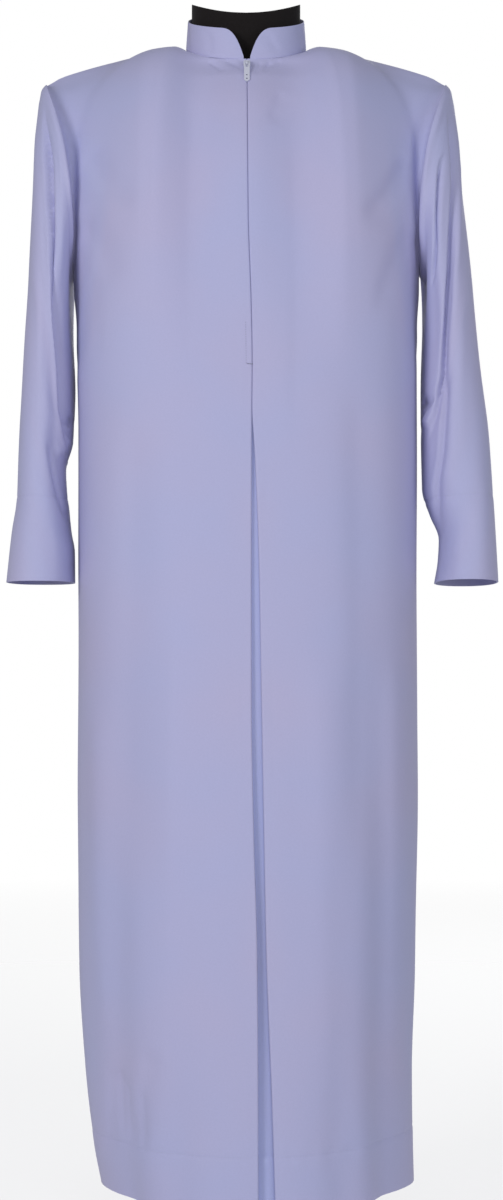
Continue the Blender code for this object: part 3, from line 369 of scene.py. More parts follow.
BACK_CREASES = laid((
    # path (x, z) in millimetres, depth, half width, softness
    (((-62, 1430), (-30, 1421), (2, 1419), (56, 1428)), -1.4, 4, 1.8),
    (((-50, 1402), (-5, 1395), (42, 1400)), -1, 5, 1.6),
    (((56, 1448), (90, 1380), (105, 1280)), -3, 11, 2),
    (((-60, 1448), (-96, 1370), (-112, 1260)), -3.4, 11, 2),
    (((200, 1340), (172, 1270), (156, 1170)), -4.4, 10, 2.2),
    (((-200, 1350), (-176, 1270), (-164, 1150)), -4, 10, 2.2),
    (((198, 1250), (164, 1215), (130, 1195)), -2.8, 7, 2),
    (((-198, 1255), (-160, 1225), (-124, 1215)), -3, 7, 2),
    (((12, 1360), (16, 1150), (10, 900)), -2.6, 15, 1.6),
    (((-70, 1250), (-74, 1000), (-66, 720)), 3, 17, 1.4),
    (((78, 1220), (80, 960), (72, 680)), 3, 17, 1.4),
    (((-120, 1100), (-126, 860), (-120, 620)), -3, 14, 1.6),
    (((124, 1120), (130, 880), (124, 600)), -3.2, 14, 1.6),
    (((-32, 700), (-38, 450), (-30, 220)), 3, 14, 1.5),
    (((42, 660), (44, 420), (38, 200)), 2.8, 14, 1.5),
    (((150, 640), (152, 400), (145, 200)), 3, 12, 1.5),
    (((-148, 620), (-150, 380), (-138, 200)), 3, 12, 1.5),
), MM)
SLEEVE_RIGHT_CREASES = laid((
    # path (turn in degrees, part of the way to the cuff), depth, half width, softness
    (((36, 0.02), (40, 0.06), (50, 0.12), (62, 0.17), (80, 0.21), (99, 0.26), (108, 0.33),
      (120, 0.42), (129, 0.51), (146, 0.57), (166, 0.62)), -10.8, 16.5, 0.2),
    (((22, 0.06), (31, 0.16), (56, 0.24), (80, 0.31), (92, 0.42), (104, 0.53)), 2, 12, 1.6),
    (((60, 0.03), (80, 0.09), (98, 0.16), (112, 0.24)), -1.6, 7, 1.8),
    (((52, 0.36), (70, 0.54), (82, 0.76)), -1.4, 12, 1.8),
    (((172, 0.48), (156, 0.51), (138, 0.52), (122, 0.515)), -3, 4.6, 2),
    (((160, 0.55), (148, 0.60), (130, 0.63)), 2.6, 7, 1.4),
    (((118, 0.62), (132, 0.70), (150, 0.78), (176, 0.82)), -4, 5.5, 2.2),
    (((100, 0.86), (108, 0.93), (112, 1.00)), -1.4, 8, 1.5),
    (((322, 0.03), (306, 0.18), (286, 0.34), (264, 0.48), (236, 0.62)), -8, 4.4, 3),
    (((336, 0.10), (318, 0.26), (298, 0.40), (280, 0.54)), 3.2, 10, 1.2),
    (((274, 0.05), (254, 0.22), (232, 0.38), (206, 0.50)), -5.6, 4.2, 2.8),
    (((344, 0.26), (330, 0.50), (314, 0.76)), -3.6, 10, 1.8),
    (((192, 0.47), (216, 0.52), (244, 0.51), (268, 0.47)), -4.6, 4.2, 2.2),
    (((198, 0.60), (226, 0.66), (256, 0.67)), 3.6, 7, 1.4),
    (((222, 0.66), (246, 0.75), (270, 0.80)), -3.6, 5.5, 2),
    (((6, 0.10), (3, 0.36), (10, 0.70)), -2.4, 11, 1.6),
))
SLEEVE_LEFT_CREASES = laid((
    # path (turn in degrees, part of the way to the cuff), depth, half width, softness
    (((34, 0.02), (37, 0.06), (40, 0.13), (47, 0.175), (60, 0.21), (76, 0.25), (93, 0.30),
      (105, 0.36), (113, 0.44), (126, 0.49), (138, 0.54), (150, 0.61)), -8.8, 3.6, 3.4),
    (((22, 0.06), (29, 0.17), (54, 0.25), (78, 0.32), (92, 0.42), (104, 0.52)), 3.4, 10, 1.2),
    (((64, 0.07), (84, 0.115), (102, 0.15), (126, 0.19)), -6.2, 4, 3),
    (((108, 0.44), (113, 0.54), (122, 0.65), (142, 0.76), (176, 0.87)), -6, 4.6, 2.8),
    (((172, 0.43), (158, 0.45), (142, 0.475), (126, 0.48)), -4, 4.6, 2),
    (((162, 0.49), (152, 0.51), (138, 0.53)), 3.2, 7, 1.3),
    (((50, 0.40), (68, 0.58), (78, 0.78)), -1.4, 12, 1.8),
    (((104, 0.87), (100, 0.94), (96, 1.00)), -1.4, 8, 1.5),
    (((324, 0.03), (306, 0.19), (284, 0.36), (260, 0.50), (232, 0.64)), -8, 4.4, 3),
    (((338, 0.10), (320, 0.27), (300, 0.42), (278, 0.56)), 3.2, 10, 1.2),
    (((266, 0.06), (248, 0.24), (228, 0.39), (202, 0.49)), -5.6, 4.2, 2.8),
    (((346, 0.28), (334, 0.52), (320, 0.78)), -3.6, 10, 1.8),
    (((190, 0.49), (214, 0.55), (242, 0.54), (266, 0.49)), -4.8, 4.2, 2.2),
    (((202, 0.66), (228, 0.71), (256, 0.70)), 3.6, 7, 1.4),
    (((218, 0.70), (244, 0.78), (268, 0.82)), -3.6, 5.5, 2),
    (((8, 0.12), (4, 0.38), (12, 0.72)), -2.4, 11, 1.6),
))
COLLAR_CREASES = laid((
    # path (run along the seam, height) in millimetres, depth, half width, softness
    (((36, 6), (34, 20), (38, 34)), -0.8, 5, 1.6),
    (((86, 0), (90, 18), (86, 36)), -1, 6, 1.6),
    (((352, 0), (348, 18), (354, 36)), -1, 6, 1.6),
    (((395, 4), (398, 20), (394, 34)), -0.7, 5, 1.4),
    (((170, 4), (190, 12), (214, 8)), -0.8, 4, 1.6),
), MM)


def ramp(value: Any, start: float, end: float) -> Any:
    """0 before start, 1 after end, and a soft ramp between."""
    share = np.clip((np.asarray(value, float) - start) / (end - start), 0.0, 1.0)
    return share * share * (3 - 2 * share)


def unit(vectors: Grid) -> Grid:
    """Vectors scaled to length one along the last axis."""
    return vectors / np.maximum(np.linalg.norm(vectors, axis=-1, keepdims=True), 1e-12)


def finer(marks: Sequence[float], step: float) -> Grid:
    """The marks with evenly spaced values between each two, at most a step apart.

    Args:
        marks: values that are kept.
        step: most that two values stand apart.

    Returns:
        All the values in order.
    """
    parts = [np.linspace(a, b, max(2, math.ceil(abs(b - a) / step) + 1))[:-1]
             for a, b in zip(marks, marks[1:])]
    return np.append(np.concatenate(parts), marks[-1])


def relaxed(grid: Grid, weight: Grid, rounds: int, pull: float = 0.9) -> Grid:
    """Points pulled to the middle of their neighbours where the weight says so; the rim is held.

    Args:
        grid: the points.
        weight: 0 to hold a point, 1 to draw it fully.
        rounds: how often all points are drawn.
        pull: share of the way that a point goes in a round.

    Returns:
        The drawn points.
    """
    grid = grid.copy()
    share = weight[1:-1, 1:-1, None] * pull
    for _ in range(rounds):
        middle = (grid[:-2, 1:-1] + grid[2:, 1:-1] + grid[1:-1, :-2] + grid[1:-1, 2:]) / 4
        grid[1:-1, 1:-1] += share * (middle - grid[1:-1, 1:-1])
    return grid


def rounded_tip(points: Grid, side: Side) -> Grid:
    """Points of a panel or sleeve with the shoulder tip's corner pressed in a little.

    Args:
        points: points of a panel or sleeve.
        side: the wearer's side.

    Returns:
        The pressed points.
    """
    away = np.hypot(points[..., 0] * side.value - SIZES.tip_x, points[..., 2] - SIZES.tip_z)
    press = SIZES.tip_press * bell(away, SIZES.tip_press_width)
    return points - press[..., None] * np.array([0.7 * side.value, 0.0, 0.7])


def turned_out(normals: Grid, outward: Any) -> Grid:
    """The normals, all turned round where on the whole they point against outward directions."""
    return -normals if np.sum(normals * outward) < 0 else normals


def linked(name: str, data: bpy.types.ID) -> bpy.types.Object:
    """A new object in the scene.

    Args:
        name: the object's name.
        data: its mesh, light or camera.

    Returns:
        The object.
    """
    made = bpy.data.objects.new(name, data)
    bpy.context.scene.collection.objects.link(made)
    return made


def bevelled(piece: bpy.types.Object, width: float, segments: int, angle: float,
             harden: bool = False) -> None:
    """Break the edges of a piece that are sharper than an angle in degrees.

    Args:
        piece: the piece.
        width: width of the broken edge, in metres.
        segments: how many faces round it.
        angle: angle in degrees.
        harden: whether the flat faces keep their own shading.
    """
    broken = piece.modifiers.new("broken_edge", "BEVEL")
    broken.width, broken.segments = width, segments
    broken.limit_method, broken.angle_limit = "ANGLE", math.radians(angle)
    broken.harden_normals = harden


def bell(distance: Grid, width: float) -> Grid:
    """1 at no distance, falling off softly over a width."""
    return np.exp(-(distance / width) ** 2)


def turned_power(value: Grid, power: Any) -> Grid:
    """A power that keeps the value's sign."""
    return np.sign(value) * np.abs(value) ** power


class Curve:
    """Smooth curve through one column of a table, with the first column as its key."""

    def __init__(self, rows: Rows, column: int) -> None:
        """Read the column and lay a tangent at each key that never overshoots."""
        table = np.array(rows, dtype=float)
        self.keys, self.values = table[:, 0], table[:, column]
        slopes = np.diff(self.values) / np.diff(self.keys)
        self.tangents = np.zeros(len(self.keys))
        self.tangents[0], self.tangents[-1] = slopes[0], slopes[-1]
        for i in range(1, len(self.keys) - 1):
            if slopes[i - 1] * slopes[i] > 0:
                self.tangents[i] = 2 * slopes[i - 1] * slopes[i] / (slopes[i - 1] + slopes[i])

    def __call__(self, key: Any) -> Any:
        """The curve's value at a key, or at each of several.

        Args:
            key: the key, or several.

        Returns:
            The curve's value at each.
        """
        key = np.clip(np.asarray(key, float), self.keys[0], self.keys[-1])
        i = np.minimum(np.searchsorted(self.keys, key, side="right") - 1, len(self.keys) - 2)
        span = self.keys[i + 1] - self.keys[i]
        s = (key - self.keys[i]) / span
        rise = self.values[i] * (1 + 2 * s) * (1 - s) ** 2
        rise = rise + self.values[i + 1] * s * s * (3 - 2 * s)
        bend = self.tangents[i] * s * (1 - s) ** 2 - self.tangents[i + 1] * s * s * (1 - s)
        return rise + bend * span


class Signal:
    """A node's output that takes part in Python arithmetic; each operation adds its Math node."""

    def __init__(self, bench: "Bench", socket: bpy.types.NodeSocket) -> None:
        """Wrap an output socket of a bench's tree."""
        self.bench = bench
        self.socket = socket

    def _math(self, operation: str, *values: Any) -> "Signal":
        """One Math node."""
        return self.bench.node("ShaderNodeMath", {"operation": operation}, dict(enumerate(values)))

    def __add__(self, other: Any) -> "Signal":
        """Sum."""
        return self._math("ADD", self, other)

    def __radd__(self, other: Any) -> "Signal":
        """Sum with a number before it."""
        return self._math("ADD", other, self)

    def __sub__(self, other: Any) -> "Signal":
        """Difference."""
        return self._math("SUBTRACT", self, other)

    def __rsub__(self, other: Any) -> "Signal":
        """Difference from a number."""
        return self._math("SUBTRACT", other, self)

    def __mul__(self, other: Any) -> "Signal":
        """Product."""
        return self._math("MULTIPLY", self, other)

    def __rmul__(self, other: Any) -> "Signal":
        """Product with a number before it."""
        return self._math("MULTIPLY", other, self)

    def __truediv__(self, other: Any) -> "Signal":
        """Quotient."""
        return self._math("DIVIDE", self, other)

    def __rtruediv__(self, other: Any) -> "Signal":
        """A number over it."""
        return self._math("DIVIDE", other, self)

    def __pow__(self, other: Any) -> "Signal":
        """Power."""
        return self._math("POWER", self, other)

    def __rpow__(self, other: Any) -> "Signal":
        """A number to its power."""
        return self._math("POWER", other, self)

    def sine(self) -> "Signal":
        """Sine of the value in radians."""
        return self._math("SINE", self)


class Bench:
    """A node tree and the one method that sets its nodes."""

    def __init__(self, tree: bpy.types.NodeTree) -> None:
        """Work on a node tree."""
        self.tree = tree

    def node(self, kind: str, settings: dict[str, Any] | None = None,
             inputs: dict[Any, Any] | None = None, output: Any = 0) -> Signal | None:
        """Add a node.

        Args:
            kind: the node's type.
            settings: properties set first; "stops" are a ramp's (place, grey) pairs.
            inputs: values or links by socket name or number.
            output: name or number of the output that is returned.

        Returns:
            The chosen output, or None for a node that has none.
        """
        made = self.tree.nodes.new(kind)
        for key, value in (settings or {}).items():
            if key == "stops":
                for element, (place, grey) in zip(made.color_ramp.elements, value):
                    element.position, element.color = place, (grey, grey, grey, 1.0)
            else:
                setattr(made, key, value)
        for key, value in (inputs or {}).items():
            self.feed(made.inputs[key], value)
        return Signal(self, made.outputs[output]) if made.outputs else None

    def feed(self, socket: bpy.types.NodeSocket, value: Any) -> None:
        """Link a signal to a socket, or set the socket's value.

        Args:
            socket: the input.
            value: a signal, a number, a vector or a colour.
        """
        if isinstance(value, Signal):
            self.tree.links.new(value.socket, socket)
        elif socket.type == "RGBA":
            socket.default_value = (*value, 1.0)
        else:
            socket.default_value = value

    def split(self, vector: Signal) -> list[Signal]:
        """The three numbers of a vector."""
        made = self.node("ShaderNodeSeparateXYZ", {}, {0: vector}).socket.node
        return [Signal(self, part) for part in made.outputs]


class Finish(Bench):
    """A material's node tree, with what its recipes share."""

    def __init__(self, name: str, viewport: Sequence[float]) -> None:
        """Start a material with a name and a plain viewport colour."""
        self.material = bpy.data.materials.new(name)
        self.material.use_nodes = True
        self.material.diffuse_color = (*viewport, 1.0)
        super().__init__(self.material.node_tree)

    def set(self, **inputs: Any) -> None:
        """Set or link inputs of the main shader; underscores stand for spaces."""
        for key, value in inputs.items():
            self.feed(self.tree.nodes["Principled BSDF"].inputs[key.replace("_", " ")], value)

    def place(self) -> Signal:
        """The piece's own coordinates in metres."""
        return self.node("ShaderNodeTexCoord", output="Object")

    def noise(self, place: Signal, scale: float, detail: float, roughness: float = 0.5) -> Signal:
        """Cloudy pattern from 0 to 1."""
        return self.node("ShaderNodeTexNoise", {}, {"Vector": place, "Scale": scale,
                                                    "Detail": detail, "Roughness": roughness})

    def fade(self, value: Signal, *stops: tuple[float, float]) -> Signal:
        """Ramp between (place, grey) stops."""
        return self.node("ShaderNodeValToRGB", {"stops": stops}, {"Fac": value})

    def blend(self, factor: Any, first: Any, second: Any) -> Signal:
        """Mix of two colours by a factor."""
        inputs = {MIX_FACTOR: factor, MIX_FIRST: first, MIX_SECOND: second}
        return self.node("ShaderNodeMix", {"data_type": "RGBA"}, inputs, MIX_COLOUR)

    def bump(self, height: Signal, distance: float, strength: float, **under: Signal) -> Signal:
        """Normal from a height pattern, over another Normal where one is given."""
        return self.node("ShaderNodeBump", {}, {"Strength": strength, "Distance": distance,
                                                "Height": height, **under})


@dataclass(frozen=True)
class Cloth:
    """Finish of a woven or knitted cloth.

    Attributes:
        name: the material's name.
        weave: which ground it shows.
        colour: its main colour.
        second: the colour it drifts to over large soft patches.
        roughness: mean roughness.
        sheen: strength of the soft glow at glancing angles.
        thread: width of one thread or rib, in metres.
        relief: height of the ground, in metres.
    """

    name: str
    weave: Weave
    colour: tuple[float, float, float]
    second: tuple[float, float, float]
    roughness: float
    sheen: float
    thread: float
    relief: float

    def material(self) -> bpy.types.Material:
        """Build the cloth's material on the piece's own flat coordinates."""
        finish = Finish(self.name, self.colour)
        if self.weave is Weave.JERSEY:
            place = finish.place()
        else:
            place = finish.node("ShaderNodeAttribute", {"attribute_name": "weave"}, output="Vector")
        across, along, _ = finish.split(place)
        turn = 2 * math.pi / (2 * self.thread)
        if self.weave is Weave.PLAIN:
            ground = (across * turn).sine() * (along * turn).sine() * 0.5 + 0.5
        elif self.weave is Weave.TAPE:
            ribs = (across * turn).sine() + (across * turn + along * turn * 0.5).sine()
            ground = ribs * 0.25 + 0.5
        else:
            ground = (across * turn).sine() * 0.3 + (along * turn).sine() * 0.2 + 0.5
        patches = finish.noise(place, 5.0, 2.0)
        slubs = finish.noise(place, 420.0, 2.0, 0.6)
        hand = finish.noise(place, 46.0, 3.0, 0.55)
        soft = finish.fade(patches, (0.35, 0.0), (0.65, 1.0))
        tinted = finish.blend(soft, self.colour, self.second)
        darker = [0.86 * part for part in self.colour]
        weave_bump = finish.bump(ground * 0.6 + slubs * 0.4, self.relief, 0.5)
        finish.set(Base_Color=finish.blend((slubs - 0.5) * 0.55 + 0.12, tinted, darker),
                   Roughness=self.roughness + (slubs - 0.5) * 0.16,
                   Normal=finish.bump(hand, self.relief * 3, 0.5, Normal=weave_bump),
                   Sheen_Weight=self.sheen, Sheen_Roughness=0.45, Specular_IOR_Level=0.3)
        return finish.material


@dataclass(frozen=True)
class Paint:
    """Finish of painted metal: a film with a fine orange peel and small worn flecks.

    Attributes:
        name: the material's name.
        colour: the paint.
        under: what shows where it is worn.
        roughness: mean roughness.
        coat: strength of the clear film.
        grain: size of the peel's bumps, as a noise scale.
        wear: how much of the surface is worn, from 0 to 1.
    """

    name: str
    colour: tuple[float, float, float]
    under: tuple[float, float, float]
    roughness: float
    coat: float
    grain: float
    wear: float

    def material(self) -> bpy.types.Material:
        """Build the paint's material on object coordinates."""
        finish = Finish(self.name, self.colour)
        place = finish.place()
        peel = finish.noise(place, self.grain, 3.0)
        dust = finish.noise(place, self.grain / 12, 4.0, 0.7)
        edge = 0.5 + 0.25 * (1 - self.wear)
        flecks = finish.fade(dust, (edge, 0.0), (edge + 0.04, 1.0))
        finish.set(Base_Color=finish.blend(flecks * 0.6, self.colour, self.under),
                   Roughness=self.roughness + (dust - 0.5) * 0.18,
                   Normal=finish.bump(peel, 0.00012, 0.35), Coat_Weight=self.coat,
                   Coat_Roughness=0.2)
        return finish.material


@dataclass(frozen=True)
class Thread:
    """Finish of sewing thread: a soft fuzzy shine.

    Attributes:
        name: the material's name.
        colour: the thread's colour.
    """

    name: str
    colour: tuple[float, float, float]

    def material(self) -> bpy.types.Material:
        """Build the thread's material."""
        finish = Finish(self.name, self.colour)
        fuzz = finish.noise(finish.place(), 2600.0, 2.0)
        darker = [0.8 * part for part in self.colour]
        finish.set(Base_Color=finish.blend(fuzz, self.colour, darker), Roughness=0.45 + fuzz * 0.2,
                   Normal=finish.bump(fuzz, 0.0001, 0.6), Sheen_Weight=0.2)
        return finish.material


ALB_CLOTH = Cloth("white_alb_cloth", Weave.PLAIN, (0.455, 0.472, 0.735), (0.488, 0.470, 0.705),
                  0.62, 0.18, 0.00045, 0.00010)
# A lighter, bluer copy of the alb cloth for the pleat's underlay: painted light in the shaded pleat
# recess
PLEAT_PAINTED_LIGHT_CLOTH = Cloth("white_alb_cloth_painted_light", Weave.PLAIN, (0.480, 0.530, 0.860), (0.500, 0.530, 0.840),
                    0.62, 0.18, 0.00045, 0.00010)
ZIP_CLOTH = Cloth("white_zip_tape", Weave.TAPE, (0.47, 0.48, 0.72), (0.49, 0.48, 0.70),
                  0.70, 0.10, 0.00060, 0.00014)
FORM_JERSEY = Cloth("black_jersey", Weave.JERSEY, (0.0060, 0.0042, 0.0045),
                    (0.0075, 0.0050, 0.0050), 0.90, 0.06, 0.00070, 0.00010)
WHITE_ENAMEL = Paint("white_enamel", (0.62, 0.64, 0.76), (0.42, 0.42, 0.46),
                     0.34, 0.25, 1400.0, 0.12)
BLACK_COAT = Paint("black_powder_coat", (0.020, 0.020, 0.021), (0.05, 0.05, 0.05),
                   0.42, 0.0, 900.0, 0.05)
WHITE_THREAD = Thread("white_thread", (0.50, 0.51, 0.74))
# A darker copy of the white thread for the topstitching and the zip's stop: painted shade of the
# cloth pulled in around them
SHADE_PAINTED_THREAD = Thread("white_thread_painted_shade", (0.33, 0.335, 0.50))


def drift(across: Grid, along: Grid, height: float) -> Grid:
    """Slow uneven waviness of hanging cloth, the same on each build.

    Args:
        across: distance across.
        along: distance along.
        height: largest height, in metres.

    Returns:
        The height outward, in metres.
    """
    first = np.sin(across / 0.031 + 2.1 * np.sin(along / 0.11)) * np.sin(along / 0.073 + 0.7)
    second = np.sin(across / 0.017 - along / 0.19 + 1.3) * np.sin(along / 0.041 + across / 0.09)
    return height * (0.65 * first + 0.35 * second)


def hem_relief(from_edge: Grid, across: Grid, depth: float) -> Grid:
    """Relief of a turned-up hem: a proud upper edge, and stitches that pull the cloth in.

    Args:
        from_edge: distance from the hem's lower edge.
        across: distance round the hem.
        depth: height of the turned-up hem.

    Returns:
        The height outward, in metres.
    """
    proud = 0.00035 * (1 - ramp(from_edge, depth - 0.0015, depth + 0.0015))
    groove = -0.00055 * bell(from_edge - depth, 0.0019)
    wave = np.sin(across / 0.0042 + 1.7 * np.sin(across / 0.037))
    pucker = 0.00035 * wave * bell(from_edge - depth, 0.0100) * (0.6 + 0.4 * np.sin(across / 0.081))
    return proud + groove + pucker


def grid_normals(grid: Grid, loop: bool = False) -> Grid:
    """Unit normals of a grid of points, from its neighbours along both ways.

    Args:
        grid: points, rows upward and columns across.
        loop: whether the last column joins the first.

    Returns:
        The directions.
    """
    up = np.gradient(grid, axis=0)
    if loop:
        along = (np.roll(grid, -1, axis=1) - np.roll(grid, 1, axis=1)) / 2
    else:
        along = np.gradient(grid, axis=1)
    return unit(np.cross(unit(along), unit(up)))


def runs_of(grid: Grid) -> tuple[Grid, Grid]:
    """Distance along each row and each column of a grid, from its first point.

    Args:
        grid: points, rows upward and columns across.

    Returns:
        Both distances at each point, in metres.
    """
    across = np.linalg.norm(np.diff(grid, axis=1), axis=-1)
    along = np.linalg.norm(np.diff(grid, axis=0), axis=-1)
    across = np.concatenate([np.zeros((grid.shape[0], 1)), np.cumsum(across, axis=1)], axis=1)
    along = np.concatenate([np.zeros((1, grid.shape[1])), np.cumsum(along, axis=0)], axis=0)
    return across, along


def shell(name: str, grid: Grid, normals: Grid, out: Any, into: Any,
          material: bpy.types.Material, loop: bool = False) -> bpy.types.Object:
    """Closed thin shell of cloth through a grid of mid-cloth points.

    Args:
        name: the piece's name.
        grid: points, rows upward and columns across.
        normals: outward direction at each point.
        out: thickness outward, one number or one for each point.
        into: thickness inward, likewise.
        material: the cloth's material.
        loop: whether the last column joins the first.

    Returns:
        The piece, with a point attribute that holds its flat coordinates in metres.
    """
    rows, columns = grid.shape[:2]
    count = rows * columns
    across, along = runs_of(grid)
    points = np.concatenate([(grid + normals * np.asarray(out)[..., None]).reshape(-1, 3),
                             (grid - normals * np.asarray(into)[..., None]).reshape(-1, 3)])
    index = np.arange(count).reshape(rows, columns)
    if loop:
        index = np.concatenate([index, index[:, :1]], axis=1)
    corners = [index[:-1, :-1], index[:-1, 1:], index[1:, 1:], index[1:, :-1]]
    front = np.stack(corners, axis=-1).reshape(-1, 4)
    rims = [(index[0, :-1], index[0, 1:]), (index[-1, 1:], index[-1, :-1])]
    if not loop:
        rims += [(index[:-1, -1], index[1:, -1]), (index[1:, 0], index[:-1, 0])]
    sides = [np.stack([b, a, a + count, b + count], axis=-1) for a, b in rims]
    faces = np.concatenate([front, front[:, ::-1] + count] + sides)
    a, b, d = points[front[:, 0]], points[front[:, 1]], points[front[:, 3]]
    if np.sum(np.cross(b - a, d - a) * normals.reshape(-1, 3)[front[:, 0]]) < 0:
        faces = faces[:, ::-1]
    mesh = bpy.data.meshes.new(name)
    mesh.from_pydata(points.tolist(), [], faces.tolist())
    flat = np.stack([across, along, np.zeros_like(along)], axis=-1).reshape(-1, 3)
    weave = mesh.attributes.new("weave", "FLOAT_VECTOR", "POINT")
    weave.data.foreach_set("vector", np.concatenate([flat, flat]).astype(np.float32).ravel())
    mesh.materials.append(material)
    mesh.shade_smooth()
    mesh.set_sharp_from_angle(angle=math.radians(50))
    return linked(name, mesh)


@dataclass
class StitchRun:
    """A path on a piece along which stitches or teeth lie.

    Attributes:
        points: the path's points.
        outward: direction away from the piece at each.
        closed: whether the last point joins the first.
    """

    points: Grid
    outward: Grid
    closed: bool = False


class StitchTree:
    """Geometry Nodes tree that lays one small plump shape after another along paths."""

    def __init__(self) -> None:
        """Name the tree's inputs and wire it."""
        self.tree = bpy.data.node_groups.new("sewn_row", "GeometryNodeTree")
        self.ids: dict[str, str] = {}
        face = self.tree.interface
        face.new_socket("Geometry", in_out="INPUT", socket_type="NodeSocketGeometry")
        for name, kind in (("Length", "Float"), ("Gap", "Float"), ("Radius", "Float"),
                           ("Rise", "Float"), ("Turn", "Float"), ("Seed", "Int"),
                           ("Finish", "Material")):
            socket = face.new_socket(name, in_out="INPUT", socket_type=f"NodeSocket{kind}")
            self.ids[name] = socket.identifier
        face.new_socket("Geometry", in_out="OUTPUT", socket_type="NodeSocketGeometry")
        self._wire(Bench(self.tree))

    def _wire(self, bench: Bench) -> None:
        """Lay out the tree: resample the path, set a shape on each point, realize and finish."""
        node = bench.node
        sockets = node("NodeGroupInput").socket.node.outputs
        given = {name: Signal(bench, sockets[name]) for name in ("Geometry", *self.ids)}
        radius = given["Radius"]
        path = node("GeometryNodeMeshToCurve", {}, {"Mesh": given["Geometry"]})
        even = node("GeometryNodeResampleCurve", {"mode": "LENGTH"},
                    {"Curve": path, "Length": given["Length"] + given["Gap"]})
        outward = node("GeometryNodeInputNamedAttribute", {"data_type": "FLOAT_VECTOR"},
                       {"Name": "outward"}, "Attribute")
        lift = node("ShaderNodeVectorMath", {"operation": "SCALE"},
                    {0: outward, "Scale": given["Rise"]}, "Vector")
        raised = node("GeometryNodeSetPosition", {}, {"Geometry": even, "Offset": lift})
        tangent = node("GeometryNodeInputTangent", output="Tangent")
        along = node("FunctionNodeAlignRotationToVector", {"axis": "X"}, {"Vector": tangent})
        facing = node("FunctionNodeAlignRotationToVector", {"axis": "Z", "pivot_axis": "X"},
                      {"Rotation": along, "Vector": outward})
        sway = node("FunctionNodeRandomValue", {"data_type": "FLOAT"},
                    {2: -SWAY, 3: SWAY, "Seed": given["Seed"]}, 1)
        angles = node("ShaderNodeCombineXYZ", {}, {"Z": sway + given["Turn"]})
        spin = node("FunctionNodeEulerToRotation", {}, {"Euler": angles})
        placed = node("FunctionNodeRotateRotation", {"rotation_space": "LOCAL"},
                      {"Rotation": facing, "Rotate By": spin})
        shape = node("GeometryNodeMeshUVSphere", {}, {"Segments": 6, "Rings": 4, "Radius": 1.0})
        half = given["Length"] * 0.5
        size = node("ShaderNodeCombineXYZ", {}, {"X": half, "Y": radius, "Z": radius})
        rows = node("GeometryNodeInstanceOnPoints", {},
                    {"Points": raised, "Instance": shape, "Rotation": placed, "Scale": size})
        real = node("GeometryNodeRealizeInstances", {}, {"Geometry": rows})
        soft = node("GeometryNodeSetShadeSmooth", {}, {0: real})
        done = node("GeometryNodeSetMaterial", {}, {"Geometry": soft, "Material": given["Finish"]})
        node("NodeGroupOutput", {}, {0: done})

    def sew(self, name: str, runs: Sequence[StitchRun], sizes: dict[str, Any]) -> bpy.types.Object:
        """Lay shapes along paths and return them as one plain mesh.

        Args:
            name: the piece's name.
            runs: the paths.
            sizes: values for the tree's named inputs.

        Returns:
            The finished piece.
        """
        edges, first = [], 0
        for run in runs:
            count = len(run.points)
            edges += [(first + i, first + i + 1) for i in range(count - 1)]
            if run.closed:
                edges.append((first + count - 1, first))
            first += count
        mesh = bpy.data.meshes.new(f"{name}_path")
        mesh.from_pydata(np.concatenate([run.points for run in runs]).tolist(), edges, [])
        ways = mesh.attributes.new("outward", "FLOAT_VECTOR", "POINT")
        outward = np.concatenate([run.outward for run in runs])
        ways.data.foreach_set("vector", outward.astype(np.float32).ravel())
        path = linked(mesh.name, mesh)
        row = path.modifiers.new("sewn_row", "NODES")
        row.node_group = self.tree
        for key, value in sizes.items():
            row[self.ids[key]] = value
        seen = path.evaluated_get(bpy.context.evaluated_depsgraph_get())
        sewn = bpy.data.meshes.new_from_object(seen)
        sewn.name = name
        path.modifiers.remove(row)
        bpy.data.objects.remove(path, do_unlink=True)
        return linked(name, sewn)


